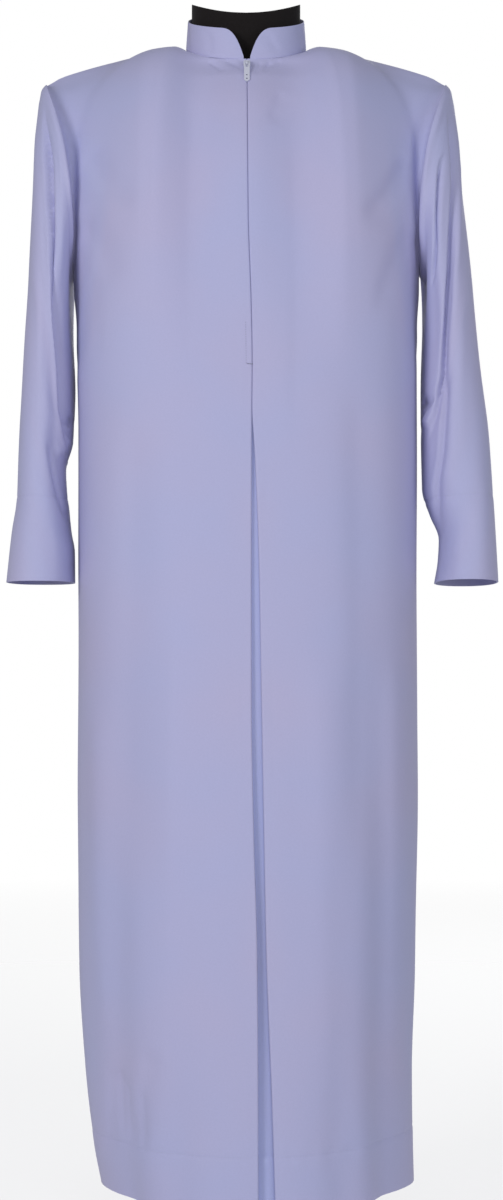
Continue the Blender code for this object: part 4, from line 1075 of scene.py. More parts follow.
class BodySurface:
    """The alb's body as one drawn surface, from which every panel takes its points."""

    def __init__(self, sizes: AlbSizes) -> None:
        """Draw smooth curves through the alb's tables."""
        self.sizes = sizes
        self.half_width = {Side.RIGHT: Curve(BODY, 1), Side.LEFT: Curve(BODY, 2)}
        self.lines = {True: Curve(BODY, 3), False: Curve(BODY, 4)}
        self.edges = {Side.RIGHT: Curve(FRONT_EDGES, 1), Side.LEFT: Curve(FRONT_EDGES, 2)}

    def squareness(self, z: Any) -> Any:
        """Exponent of the body's oval: squarer over the chest, rounder at the hem.

        Args:
            z: height, or several.

        Returns:
            The exponent.
        """
        s = self.sizes
        rounder = ramp(s.underarm_z - z, 0.0, s.underarm_z - s.hem_z)
        return s.chest_squareness - (s.chest_squareness - s.hem_squareness) * rounder

    def fold_depth(self, turn: float, z: Any) -> Any:
        """Outward depth of the skirt's soft folds at a turn in degrees and a height.

        Args:
            turn: turn round the body, 0 at centre front.
            z: height, or several.

        Returns:
            The depth, in metres.
        """
        depth = 0.0
        hem = self.sizes.hem_z
        for hem_turn, top_turn, height, width, top in FOLDS:
            middle = hem_turn + (top_turn - hem_turn) * (z - hem) / (top - hem)
            apart = (turn - middle + 180.0) % 360.0 - 180.0
            depth = depth + height * ramp(top - z, 0.0, top - hem) * bell(apart, width)
        return depth

    def fold_line_x(self, side: Side, z: Any) -> Any:
        """Middle of the front's cloth where it turns back at the zip or pleat edge."""
        return self.edges[side](z) + side.value * (self.sizes.fold_nose + self.sizes.solid_wall / 2)

    def skirt(self, side: Side, is_front: bool, share: float, z: Any) -> Grid:
        """Points of a panel below the yoke line; share 0 is its middle edge and 1 the side seam.

        Args:
            side: the wearer's side.
            is_front: whether it is the front rather than the back.
            share: part of the way to the side seam.
            z: height, or several.

        Returns:
            The points.
        """
        z = np.asarray(z, float)
        half = self.half_width[side](z)
        start = self.fold_line_x(side, z) if is_front else 0.0
        x = start + (side.value * half - start) * math.sin(share * math.pi / 2)
        turn = side.value * (share * 90.0 if is_front else 180.0 - share * 90.0)
        depth = self.lines[is_front](z)
        power = self.squareness(z)
        across = np.minimum(np.abs(x / half), 1.0)
        y = depth * (1 - across ** power) ** (1 / power)
        out_x = np.sign(x) * across ** (power - 1) / half
        out_y = np.sign(depth) * np.abs(y / depth) ** (power - 1) / np.abs(depth)
        out = unit(np.stack([out_x, out_y], axis=-1))
        fold = self.fold_depth(turn, z)
        return np.stack([x + out[..., 0] * fold, y + out[..., 1] * fold, z], axis=-1)

    def neck(self, turn: float) -> Grid:
        """Point of the neck seam; turn 0 is centre front, 180 centre back, positive to the left.

        Args:
            turn: turn in degrees.

        Returns:
            The point.
        """
        s = self.sizes
        angle = math.radians(turn)
        return np.array([s.neck_half_width * math.sin(angle),
                         s.neck_y - s.neck_half_depth * math.cos(angle),
                         s.neck_front_z + s.neck_rise * (1 - math.cos(angle)) / 2])

    def shoulder(self, side: Side, share: float) -> Grid:
        """Point of the shoulder seam from the neck (0) to the tip (1).

        Args:
            side: the wearer's side.
            share: part of the way to the tip.

        Returns:
            The point.
        """
        s = self.sizes
        start = self.neck(90.0)
        drop = (start[2] - s.tip_z) * share ** s.shoulder_power
        return np.array([side.value * (start[0] + (s.tip_x - start[0]) * share),
                         start[1] + (s.tip_y - start[1]) * share, start[2] - drop])

    def armhole(self, side: Side, turn: float) -> Grid:
        """Point of the armhole seam; turn 0 is the shoulder tip, 90 the front, 180 the underarm.

        Args:
            side: the wearer's side.
            turn: turn in degrees.

        Returns:
            The point.
        """
        s = self.sizes
        across, up = math.sin(math.radians(turn)), math.cos(math.radians(turn))
        depth = s.armhole_front if across > 0 else s.armhole_back
        x = (s.tip_x + s.underarm_x) / 2 + (s.tip_x - s.underarm_x) / 2 * up
        return np.array([side.value * (x - s.armhole_bow * across ** 2),
                         s.tip_y * (1 + up) / 2 - depth * across,
                         (s.tip_z + s.underarm_z) / 2 + (s.tip_z - s.underarm_z) / 2 * up])

    def first_turn(self, side: Side) -> float:
        """Turn on the neck seam at which a front's edge stands."""
        away = self.fold_line_x(side, self.sizes.neck_front_z) * side.value
        return math.degrees(math.asin(float(away / self.sizes.neck_half_width)))

    def top(self, side: Side, share: float, is_front: bool) -> Grid:
        """Where a column ends above: on the neck seam, the shoulder seam or the armhole.

        Args:
            side: the wearer's side.
            share: part of the way to the side seam.
            is_front: whether it is the front rather than the back.

        Returns:
            The point.
        """
        s = self.sizes
        if share <= s.neck_share:
            part = share / s.neck_share
            if is_front:
                first = self.first_turn(side)
                return self.neck(side.value * (first + (90.0 - first) * part))
            return self.neck(side.value * (180.0 - 90.0 * part))
        if share <= s.shoulder_share:
            return self.shoulder(side, (share - s.neck_share) / (s.shoulder_share - s.neck_share))
        shares = (s.shoulder_share,) + ARMHOLE_SHARES
        turn = float(np.interp(share, shares, np.linspace(0.0, 180.0, len(shares))))
        return self.armhole(side, turn if is_front else 360.0 - turn)

    def yoke(self, side: Side, share: float, is_front: bool, parts: Grid) -> Grid:
        """Points of one column at parts of the way from the yoke line up to its seam.

        Args:
            side: the wearer's side.
            share: part of the way to the side seam.
            is_front: whether it is the front rather than the back.
            parts: parts of the way up.

        Returns:
            The points.
        """
        s = self.sizes
        bottom = self.skirt(side, is_front, share, s.yoke_z)
        top = self.top(side, share, is_front)
        line = self.lines[is_front]
        arched = ramp(share, 0.0, s.neck_share) * (1 - ramp(share, s.shoulder_share, s.arch_end))
        on_line = 1 - ramp(share, 0.0, s.neck_share)
        swing = float(np.interp(share, SWING_SHARES, SWINGS))
        rise = parts + (np.sin(parts * math.pi / 2) - parts) * arched
        z = bottom[2] + (top[2] - bottom[2]) * rise
        over_top = 1 - np.maximum(1 - rise ** s.yoke_roundness, 0.0) ** (1 / s.yoke_roundness)
        along_line = (line(z) - line(bottom[2])) / (line(top[2]) - line(bottom[2]))
        inward = rise + (over_top - rise) * arched
        inward = np.clip(inward + (along_line - inward) * on_line, 0.0, 1.0)
        x = bottom[0] + (top[0] - bottom[0]) * inward ** swing
        if is_front:
            x = x + self.zip_shift(side, z) * (1 - ramp(share, 0.0, s.zip_shift_share))
        return np.stack([x, bottom[1] + (top[1] - bottom[1]) * inward, z], axis=-1)

    def zip_shift(self, side: Side, z: Grid) -> Grid:
        """How far a front's edge moves sideways above the yoke line, to follow the zip.

        Args:
            side: the wearer's side.
            z: height, or several.

        Returns:
            The move along x, in metres.
        """
        s = self.sizes
        line = self.lines[True]
        rise = (line(z) - line(s.yoke_z)) / (line(s.neck_front_z) - line(s.yoke_z))
        low, high = self.fold_line_x(side, s.yoke_z), self.fold_line_x(side, s.neck_front_z)
        return self.fold_line_x(side, z) - low - (high - low) * np.clip(rise, 0.0, 1.0) ** SWINGS[0]


@dataclass
class Panel:
    """Half of a body panel: its points and its outward directions."""

    grid: Grid
    normals: Grid


@dataclass
class BodyPanels:
    """The fronts, the back, the pleat's underlay and the zip's tape.

    Attributes:
        sizes: the alb's sizes.
        column_step: how far round the ring two columns stand apart at most.
        neck_column_step: the same for the fronts' columns that end at the neck seam's front.
        row_step: how far apart two rows stand at most below the yoke line, in metres.
        chest_rows: rows from the yoke line to a little below the seams above.
        neck_rows: rows from there to the seams.
        neck_part: part of the way up at which the closer rows start.
        stray: height of the cloth's slow waviness.
        ease_rounds: how often the cloth beside the armhole is drawn smooth.
        eased_rows: rows above the yoke line between which that sets in.
        eased_shares: parts of the way round between which that sets in.
        return_columns: columns of a front's turned-back return.
        nose_turns: turns of the rounded fold's columns, in degrees.
        reach_columns: columns of a front that its return and the strips behind it can reach.
        underlay_columns: columns of the pleat's underlay.
        tape_columns: columns of the zip's tape, with one in its middle.
        path_step: how far apart two points of a stitched path on the fronts stand.
    """

    sizes: AlbSizes
    column_step: float = 0.0115
    neck_column_step: float = 0.0048
    row_step: float = 0.0068
    chest_rows: int = 54
    neck_rows: int = 36
    neck_part: float = 0.88
    stray: float = 0.0005
    ease_rounds: int = 260
    eased_rows: tuple[int, int] = (4, 30)
    eased_shares: tuple[float, float] = (0.42, 0.56)
    return_columns: int = 9
    nose_turns: tuple[float, ...] = (150.0, 120.0, 90.0, 60.0, 30.0)
    reach_columns: int = 64
    underlay_columns: int = 25
    tape_columns: int = 9
    path_step: float = 0.0015

    def __post_init__(self) -> None:
        """Lay out the rows and columns, and draw both fronts and both halves of the back."""
        self.surface = BodySurface(self.sizes)
        s = self.sizes
        hem_line = s.hem_z + s.skirt_hem
        beside_hem = (hem_line + away for away in (-0.006, -0.002, 0.0, 0.002, 0.006))
        self.levels = finer((s.hem_z, s.hem_z + 0.004, *beside_hem, s.yoke_z), self.row_step)
        self.hem_row = int(np.argmin(np.abs(self.levels - hem_line)))
        marks = (s.neck_share, s.shoulder_share) + ARMHOLE_SHARES
        outer = finer(marks, self.column_step)
        close = finer((0.0, s.neck_share * 0.6), self.neck_column_step)
        wide = finer((s.neck_share * 0.6, s.neck_share), self.column_step)
        behind = finer((0.0, s.neck_share), self.column_step)
        self.shares = {True: np.concatenate([close[:-1], wide[:-1], outer]),
                       False: np.concatenate([behind[:-1], outer])}
        self.fronts = {side: self._panel(side, True) for side in Side}
        self.backs = {side: self._panel(side, False) for side in Side}
        for side in Side:
            self._share_seams(side)

    def _panel(self, side: Side, is_front: bool) -> Panel:
        """Half of a panel with its creases laid on.

        Args:
            side: the wearer's side.
            is_front: whether it is the front rather than the back.

        Returns:
            The half panel.
        """
        parts = np.concatenate([np.linspace(0.0, self.neck_part, self.chest_rows + 1)[1:],
                                np.linspace(self.neck_part, 1.0, self.neck_rows + 1)[1:]])
        columns = []
        for share in self.shares[is_front]:
            low = self.surface.skirt(side, is_front, share, self.levels)
            columns.append(np.concatenate([low, self.surface.yoke(side, share, is_front, parts)]))
        grid = np.array(columns).transpose(1, 0, 2)
        low, high = (len(self.levels) + rows for rows in self.eased_rows)
        eased = np.outer(ramp(np.arange(len(grid)), low, high),
                         ramp(self.shares[is_front], *self.eased_shares))
        grid = rounded_tip(relaxed(grid, eased, self.ease_rounds), side)
        normals = turned_out(grid_normals(grid), grid * [1.0, 1.0, 0.0])
        normals[-1] = unit(normals[-1] + normals[-2])
        across, along = runs_of(grid)
        table = FRONT_CREASES if is_front else BACK_CREASES
        height = creased(table, grid[..., 0], grid[..., 2])
        height += drift(across * side.value + (0.0 if is_front else 0.4), along, self.stray)
        height += self._seam_dips(across, along)
        if is_front:
            height *= ramp(across, 0.0, 0.012)
        height += hem_relief(along, across * side.value, self.sizes.skirt_hem)
        return Panel(grid + normals * height[..., None], normals)

    def _seam_dips(self, across: Grid, along: Grid) -> Grid:
        """Shallow dips beside the side seam and the seams along the top edge.

        Args:
            across: distance from the panel's middle edge.
            along: distance from its hem.

        Returns:
            The height outward, in metres.
        """
        to_side = across[:, -1:] - across
        to_top = along[-1:] - along
        pull = np.sin(along / 0.009 + 1.5 * np.sin(along / 0.06))
        off_neck = ramp(np.arange(across.shape[1]) / across.shape[1], 0.60, 0.72)
        hollow = -0.0035 * bell(to_top - 0.020, 0.016) * off_neck * ramp(to_side, 0.0, 0.05)
        grooves = -0.0006 * bell(to_side, 0.0025) - 0.0008 * bell(to_top, 0.0018)
        return grooves + 0.0004 * pull * bell(to_side, 0.010) + hollow

    def _share_seams(self, side: Side) -> None:
        """Join both panels along the side seam and the shoulder seam.

        Args:
            side: the wearer's side.
        """
        ends = {is_front: [int(np.argmin(np.abs(shares - share)))
                           for share in (self.sizes.neck_share, self.sizes.shoulder_share)]
                for is_front, shares in self.shares.items()}
        front, back = self.fronts[side], self.backs[side]
        shoulder = [np.s_[-1, first:last + 1] for first, last in (ends[True], ends[False])]
        for at_front, at_back in ((np.s_[:, -1], np.s_[:, -1]), shoulder):
            middle = (front.grid[at_front] + back.grid[at_back]) / 2
            mean = unit(front.normals[at_front] + back.normals[at_back])
            front.grid[at_front] = back.grid[at_back] = middle
            front.normals[at_front] = back.normals[at_back] = mean

    def return_width(self, z: Any) -> Any:
        """Width of a front's turned-back return: deep in the pleat, narrow behind the zip.

        Args:
            z: height, or several.

        Returns:
            The width, in metres.
        """
        s = self.sizes
        deep = ramp(s.zip_end_z + 0.01 - z, 0.0, 0.05)
        return s.zip_return + (s.pleat_return - s.zip_return) * deep

    def fold_depth(self, z: Any) -> Any:
        """How far the pleat's inner fold lies behind its outer fold."""
        return self.sizes.pleat_depth * ramp(self.sizes.zip_end_z - z, 0.0,
                                             self.sizes.zip_end_z - self.sizes.hem_z)

    def surface_point(self, row: Grid, x: float) -> Grid:
        """Point of a front's own surface at x on one of its rows."""
        order = np.argsort(row[:self.reach_columns, 0])
        return np.array([x, *(np.interp(x, row[order, 0], row[order, axis]) for axis in (1, 2))])

    def inward(self, side: Side) -> Grid:
        """Direction into the body at each row of a front's edge, with no sideways part."""
        return -unit(self.fronts[side].normals[:, 0] * [0.0, 1.0, 1.0])

    def _with_return(self, side: Side) -> tuple[Grid, Grid]:
        """A front's points and directions with its rounded fold and turned-back return.

        Args:
            side: the wearer's side.

        Returns:
            The points and the directions.
        """
        s = self.sizes
        panel = self.fronts[side]
        inward = self.inward(side)
        rows, ways = [], []
        for row, inner in zip(panel.grid, inward):
            edge = row[0]
            width, deeper = self.return_width(edge[2]), self.fold_depth(edge[2])
            points, normals = [], []
            for part in np.linspace(1.0, 0.0, self.return_columns):
                on = self.surface_point(row, edge[0] + side.value * width * part)
                points.append(on + inner * (2 * s.fold_radius + deeper * part))
                normals.append(inner)
            for turn in np.radians(self.nose_turns):
                aside = np.array([-side.value * math.sin(turn), 0.0, 0.0])
                behind = inner * s.fold_radius * (1 - math.cos(turn))
                points.append(edge + behind + aside * s.nose_reach)
                normals.append(unit(aside - inner * math.cos(turn)))
            rows.append(points)
            ways.append(normals)
        normals = np.concatenate([np.array(ways), panel.normals], axis=1)
        normals[:, len(rows[0])] = -inward
        return np.concatenate([np.array(rows), panel.grid], axis=1), normals

    def _hem_inside(self, grid: Grid) -> Grid:
        """Inward thickness, doubled where the hem is turned up.

        Args:
            grid: points of the piece.

        Returns:
            The thickness at each, in metres.
        """
        top = self.sizes.hem_z + self.sizes.skirt_hem
        doubled = 1 - ramp(grid[..., 2], top - 0.001, top + 0.001)
        return self.sizes.wall / 2 + self.sizes.hem_layer * doubled

    def front(self, side: Side, name: str, material: bpy.types.Material) -> bpy.types.Object:
        """One front with its return.

        Args:
            side: the wearer's side.
            name: the piece's name.
            material: the material it is made of.

        Returns:
            The finished piece.
        """
        grid, normals = self._with_return(side)
        into = self._hem_inside(grid)
        into[:, :self.return_columns + len(self.nose_turns)] = self.sizes.wall / 2
        return shell(name, grid, normals, self.sizes.wall / 2, into, material)

    def back(self, material: bpy.types.Material) -> bpy.types.Object:
        """The back in one piece, both halves joined at centre back.

        Args:
            material: the material it is made of.

        Returns:
            The finished piece.
        """
        left, right = self.backs[Side.LEFT], self.backs[Side.RIGHT]
        middle = (left.grid[:, :1] + right.grid[:, :1]) / 2
        grid = np.concatenate([right.grid[:, :0:-1], middle, left.grid[:, 1:]], axis=1)
        mean = unit(left.normals[:, :1] + right.normals[:, :1])
        normals = np.concatenate([right.normals[:, :0:-1], mean, left.normals[:, 1:]], axis=1)
        into = self._hem_inside(grid)
        return shell("alb_back", grid, normals, self.sizes.wall / 2, into, material)

    def _strip(self, levels: Sequence[int], columns: int,
               ends: Callable[[Grid, Grid], Sequence[float]],
               depth: Callable[[float, float], float]) -> Grid:
        """Points of a strip of cloth behind the two front edges.

        Args:
            levels: the fronts' rows behind which it lies.
            columns: how many points each of its rows has.
            ends: gives the x of both ends of a row from the right and the left edge's point.
            depth: gives the distance behind the fronts from a height and a part of the way across.

        Returns:
            The points, rows upward.
        """
        inward = self.inward(Side.LEFT)
        rows = []
        for i in levels:
            right, left = self.fronts[Side.RIGHT].grid[i], self.fronts[Side.LEFT].grid[i]
            low, high = ends(right[0], left[0])
            row = []
            for part in np.linspace(0.0, 1.0, columns):
                x = low + (high - low) * part
                on = self.surface_point(left if x > left[0, 0] else right, x)
                row.append(on + inward[i] * depth(left[0, 2], part))
            rows.append(row)
        return np.array(rows)

    def underlay(self, material: bpy.types.Material) -> bpy.types.Object:
        """The strip behind the pleat's two inner folds.

        Args:
            material: the material it is made of.

        Returns:
            The finished piece.
        """
        s = self.sizes

        def ends(right: Grid, left: Grid) -> tuple[float, float]:
            """As far as both returns reach."""
            width = self.return_width(left[2])
            return right[0] - width, left[0] + width

        def depth(z: float, part: float) -> float:
            """Behind the inner folds, bowed forward in the middle."""
            fold = self.fold_depth(z)
            bow = s.underlay_bow * fold * math.sin(math.pi * part)
            return 2 * s.fold_radius + fold + s.solid_wall + s.underlay_ease - bow

        grid = self._strip(range(len(self.levels)), self.underlay_columns, ends, depth)
        normals = turned_out(grid_normals(grid), FORWARD)
        across, along = runs_of(grid)
        grid = grid + normals * hem_relief(along, across, s.skirt_hem)[..., None]
        return shell("alb_pleat_underlay", grid, normals, s.wall / 2, s.wall / 2, material)

    def tape(self, material: bpy.types.Material) -> bpy.types.Object:
        """The zip's tapes behind the two front edges, from the yoke line to the neck seam.

        Args:
            material: the material it is made of.

        Returns:
            The finished piece.
        """
        s = self.sizes
        behind = 2 * s.fold_radius + s.solid_wall / 2 + s.tape_wall / 2 + s.tape_ease

        def ends(right: Grid, left: Grid) -> tuple[float, float]:
            """As far to both sides of the zip's line."""
            middle = (left[0] + right[0]) / 2
            return middle - s.tape_half_width, middle + s.tape_half_width

        levels = range(len(self.levels) - 1, len(self.fronts[Side.LEFT].grid))
        grid = self._strip(levels, self.tape_columns, ends, lambda z, part: behind)
        middle = self.tape_columns // 2
        kept = np.linalg.norm(grid[:, middle] - grid[-1, middle], axis=1) > s.tape_top_gap
        grid = grid[kept]
        normals = turned_out(grid_normals(grid), FORWARD)
        toothed = grid[:, middle, 2] > s.zip_end_z
        self.tape_middle = grid[toothed, middle]
        self.tape_normals = normals[toothed, middle]
        return shell("zip_tape_woven", grid, normals, s.tape_wall / 2, s.tape_wall / 2, material)

    def hem_runs(self) -> list[StitchRun]:
        """Paths of the skirt hem's stitches on both fronts and the back.

        Returns:
            The paths.
        """
        runs = []
        for panel in (*self.fronts.values(), *self.backs.values()):
            ways = panel.normals[self.hem_row]
            runs.append(StitchRun(panel.grid[self.hem_row] + ways * self.sizes.wall / 2, ways))
        return runs

    def on_front(self, places: Rows) -> StitchRun:
        """Path across the fronts through places given as x and z.

        Args:
            places: the places.

        Returns:
            The path.
        """
        points, ways, dense = [], [], []
        for (x0, z0), (x1, z1) in zip(places, places[1:]):
            steps = max(2, int(math.hypot(x1 - x0, z1 - z0) / self.path_step))
            dense += [(x0 + (x1 - x0) * k / steps, z0 + (z1 - z0) * k / steps)
                      for k in range(steps)]
        for x, z in dense + [places[-1]]:
            side = Side.LEFT if x > self.surface.fold_line_x(Side.LEFT, z) else Side.RIGHT
            panel = self.fronts[side]
            gap = np.abs(panel.grid[..., 0] - x) + np.abs(panel.grid[..., 2] - z)
            row, column = np.unravel_index(int(np.argmin(gap)), gap.shape)
            way = panel.normals[row, column]
            near = panel.grid[max(0, row - 2):row + 3]
            spots = np.array([self.surface_point(level, x) for level in near])
            y = float(np.interp(z, spots[:, 2], spots[:, 1]))
            points.append(np.array([x, y, z]) + way * self.sizes.wall / 2)
            ways.append(way)
        return StitchRun(np.array(points), np.array(ways))


@dataclass
class Sleeve:
    """A set-in sleeve as one tube of cloth with a deep stitched hem.

    Attributes:
        side: whose arm it is for.
        table: its silhouette and depth at parts of the way to the cuff.
        troughs: its large soft troughs.
        creases: its finer creases, by turn in degrees and part of the way.
        tilt: how far the cuff's back hangs below its front.
        sizes: the alb's sizes.
        columns: columns round the sleeve.
        upper_rows: rows from the armhole to the hem's stitch line.
        turn_run: metres for one degree of the creases' paths.
        way_run: metres for the creases' whole way to the cuff.
        hem_row_step: how far apart two rows stand at most in the hem, in metres.
        cap_ease: how far the cloth swells below the armhole seam.
    """

    side: Side
    table: Rows
    troughs: Rows
    creases: Sequence[Crease]
    tilt: float
    sizes: AlbSizes
    columns: int = 168
    upper_rows: int = 128
    turn_run: float = 0.00088
    way_run: float = 0.56
    hem_row_step: float = 0.0062
    cap_ease: float = 0.0020

    def __post_init__(self) -> None:
        """Draw the tube with its creases, its hem and its dip at the armhole seam."""
        self.curves = [Curve(self.table, column) for column in (1, 2, 3, 4)]
        all_turns = np.arange(self.columns) * 360.0 / self.columns
        parts = np.array([self._parts(turn) for turn in all_turns])
        columns = [self._points(turn, part) for turn, part in zip(all_turns, parts)]
        grid = rounded_tip(np.array(columns).transpose(1, 0, 2), self.side)
        normals = turned_out(grid_normals(grid, loop=True), grid - grid.mean(axis=1, keepdims=True))
        across, along = runs_of(grid)
        from_cuff = along[-1:] - along
        turns = np.broadcast_to(all_turns, across.shape)
        height = creased(self.creases, turns, parts.T, (self.turn_run, self.way_run), 360.0)
        height += drift(across * self.side.value + 0.2, along, 0.0005) * ramp(along, 0.0, 0.02)
        swell = bell(along - 0.008, 0.007) * (0.75 + 0.25 * np.sin(across / 0.011))
        height += self.cap_ease * swell
        height *= ramp(from_cuff, -0.01, 0.12) * 0.75 + 0.25
        height += hem_relief(from_cuff, across, self.sizes.sleeve_hem)
        height -= 0.0010 * bell(along, 0.0025)
        self.grid = grid + normals * height[..., None]
        self.normals = normals
        self.from_cuff = from_cuff

    def _parts(self, turn: float) -> Grid:
        """Parts of the way down one column, with rows that follow the hem's stitch line.

        Args:
            turn: turn in degrees, 0 at the shoulder.

        Returns:
            The parts.
        """
        s = self.sizes
        up = math.cos(math.radians(turn))
        start = (s.tip_z + s.underarm_z) / 2 + (s.tip_z - s.underarm_z) / 2 * up
        long = start - s.cuff_z
        upper = np.linspace(0.0, 1.0, self.upper_rows)[:-1] * (1 - s.sleeve_hem / long)
        above = 1 - (s.sleeve_hem + np.array([0.006, 0.002])) / long
        downs = finer((s.sleeve_hem, s.sleeve_hem - 0.002, s.sleeve_hem - 0.006, 0.004, 0.0),
                      self.hem_row_step)
        parts = np.concatenate([upper[upper < above[0] - 0.002], above, 1 - downs / long])
        rows = self.upper_rows + 1 + len(downs)
        return np.interp(np.linspace(0, 1, rows), np.linspace(0, 1, len(parts)), parts)

    def _points(self, turn: float, part: Grid) -> Grid:
        """Mid-cloth points at a turn; part 0 is the armhole and 1 the cuff.

        Args:
            turn: turn in degrees.
            part: parts of the way down.

        Returns:
            The points.
        """
        s = self.sizes
        outer, inner, middle_y, depth = (curve(part) for curve in self.curves)
        top_z = s.tip_z + (s.cuff_z - s.tip_z) * part
        low_z = s.underarm_z + (s.cuff_z - s.underarm_z) * part
        up, across = math.cos(math.radians(turn)), math.sin(math.radians(turn))
        boxy = 0.12 * ramp(part, 0.1, 0.5)
        up_share = turned_power(np.full(part.shape, up), 1 - boxy)
        across_share = turned_power(np.full(part.shape, across), 1 - boxy)
        bow = s.armhole_bow * (1 - ramp(part, 0.0, 0.35)) * across ** 2
        if across < 0:
            depth = depth + (s.armhole_back - s.armhole_front) * (1 - ramp(part, 0.0, 0.2))
        crown_y = s.tip_y * (1 + up) / 2 * (1 - ramp(part, 0.0, 0.15))
        y_off = -depth * across_share
        z = (top_z + low_z) / 2 + (top_z - low_z) / 2 * up_share
        z = z - self.tilt * ramp(part, 0.1, 0.9) * y_off
        x = self.side.value * ((outer + inner) / 2 + (outer - inner) / 2 * up_share - bow)
        y = crown_y + middle_y - self.curves[2](0.0) + y_off
        inward = unit(np.array([-self.side.value * up, across, 0.0]))
        return np.stack([x, y, z], axis=-1) + inward * self._trough(turn, part)[..., None]

    def _trough(self, turn: float, part: Grid) -> Grid:
        """Inward depth of the sleeve's large troughs.

        Args:
            turn: turn in degrees.
            part: parts of the way down.

        Returns:
            The depth at each, in metres.
        """
        depth = np.zeros(part.shape)
        for turn_start, turn_end, start, end, deep, width in self.troughs:
            along = (part - start) / (end - start)
            middle = turn_start + (turn_end - turn_start) * along
            apart = (turn - middle + 180.0) % 360.0 - 180.0
            inside = np.sin(math.pi * np.clip(along, 0.0, 1.0)) ** 0.7
            depth = depth + deep * inside * bell(apart, width)
        return depth

    def piece(self, name: str, material: bpy.types.Material) -> bpy.types.Object:
        """The sleeve as a thin shell, thicker inside where its hem is turned up.

        Args:
            name: the piece's name.
            material: the material it is made of.

        Returns:
            The finished piece.
        """
        s = self.sizes
        doubled = 1 - ramp(self.from_cuff, s.sleeve_hem - 0.001, s.sleeve_hem + 0.001)
        into = s.wall / 2 + s.hem_layer * doubled
        return shell(name, self.grid, self.normals, s.wall / 2, into, material, loop=True)

    def hem_run(self) -> StitchRun:
        """Path of the sleeve hem's stitches.

        Returns:
            The path.
        """
        row = int(np.argmin(np.abs(self.from_cuff[:, 0] - self.sizes.sleeve_hem)))
        ways = self.normals[row]
        return StitchRun(self.grid[row] + ways * self.sizes.wall / 2, ways, closed=True)


@dataclass
class StandCollar:
    """The stand collar on the neck seam, with rounded front ends and a rolled top edge.

    Attributes:
        body: the surface whose neck seam it stands on.
        sizes: the alb's sizes.
        rows: rows from the seam to the top edge.
        half: half of its thickness.
        rim_share: share of that thickness at its top edge.
        turn_step: how many degrees two columns stand apart at most.
        end_turn: how many degrees before the front edges it ends.
    """

    body: BodySurface
    sizes: AlbSizes
    rows: int = 17
    half: float = 0.0008
    rim_share: float = 0.55
    turn_step: float = 1.6
    end_turn: float = 1.6

    def piece(self, material: bpy.types.Material) -> bpy.types.Object:
        """The collar as a shell a little thicker than one layer.

        Args:
            material: the material it is made of.

        Returns:
            The finished piece.
        """
        s = self.sizes
        first = self.body.first_turn(Side.LEFT) + self.end_turn
        last = 360.0 - self.body.first_turn(Side.RIGHT) - self.end_turn
        turns = finer((first, 15.0, 90.0, 180.0, 270.0, 345.0, last), self.turn_step)
        seam = np.array([self.body.neck(turn) for turn in turns])
        runs = np.concatenate([[0.0], np.cumsum(np.linalg.norm(np.diff(seam, axis=0), axis=1))])
        ends = np.clip(np.minimum(runs, runs[-1] - runs) / s.collar_end_run, 0.0, 1.0)
        tall = s.collar_end_height + (s.collar_height - s.collar_end_height) * (1 - (1 - ends) ** 3)
        angles = np.radians(turns)
        inward = np.stack([-np.sin(angles), np.cos(angles), np.zeros(len(turns))], axis=-1)
        rows = []
        for part in np.linspace(0.0, 1.0, self.rows):
            lean = s.collar_lean * tall * part / s.collar_height
            rows.append(seam + inward * lean[:, None] + np.outer(tall * part, [0.0, 0.0, 1.0]))
        grid = np.array(rows)
        normals = turned_out(grid_normals(grid), (grid - [0.0, s.neck_y, 0.0]) * [1.0, 1.0, 0.0])
        across, along = runs_of(grid)
        height = creased(COLLAR_CREASES, across, along) + drift(across, along, 0.0003)
        height -= 0.0006 * bell(along, 0.0014)
        grid = grid + normals * height[..., None]
        half = self.half * np.ones(grid.shape[:2])
        half[-1] = self.half * self.rim_share
        made = shell("alb_collar", grid, normals, half, half, material)
        bevelled(made, 0.0004, 2, 50.0)
        return made


@dataclass
class CarriedPart:
    """A CAD node drawn again with smooth shading and softly broken edges.

    Attributes:
        node: the CAD node.
        name: the new piece's name.
        edge: width of the broken edges.
        levels: how often its faces are divided.
        sharp: angle in degrees past which an edge is broken.
    """

    node: str
    name: str
    edge: float
    levels: int = 0
    sharp: float = 35.0

    def reshape(self, bm: bmesh.types.BMesh) -> None:
        """Change the merged copy before it is finished; a plain part stays as it is."""

    def piece(self, material: bpy.types.Material) -> bpy.types.Object:
        """Copy the node's mesh, merge it and finish it.

        Args:
            material: the material it is made of.

        Returns:
            The finished piece.
        """
        bm = bmesh.new()
        bm.from_mesh(frame["nodes"][self.node].data)
        bmesh.ops.remove_doubles(bm, verts=bm.verts, dist=0.000002)
        self.reshape(bm)
        bmesh.ops.dissolve_limit(bm, angle_limit=math.radians(0.5), verts=bm.verts, edges=bm.edges)
        mesh = bpy.data.meshes.new(self.name)
        bm.to_mesh(mesh)
        bm.free()
        mesh.materials.append(material)
        mesh.shade_smooth()
        mesh.set_sharp_from_angle(angle=math.radians(self.sharp))
        made = linked(self.name, mesh)
        bevelled(made, self.edge, 3, self.sharp, harden=True)
        if self.levels:
            smooth = made.modifiers.new("smooth", "SUBSURF")
            smooth.levels = smooth.render_levels = self.levels
        return made


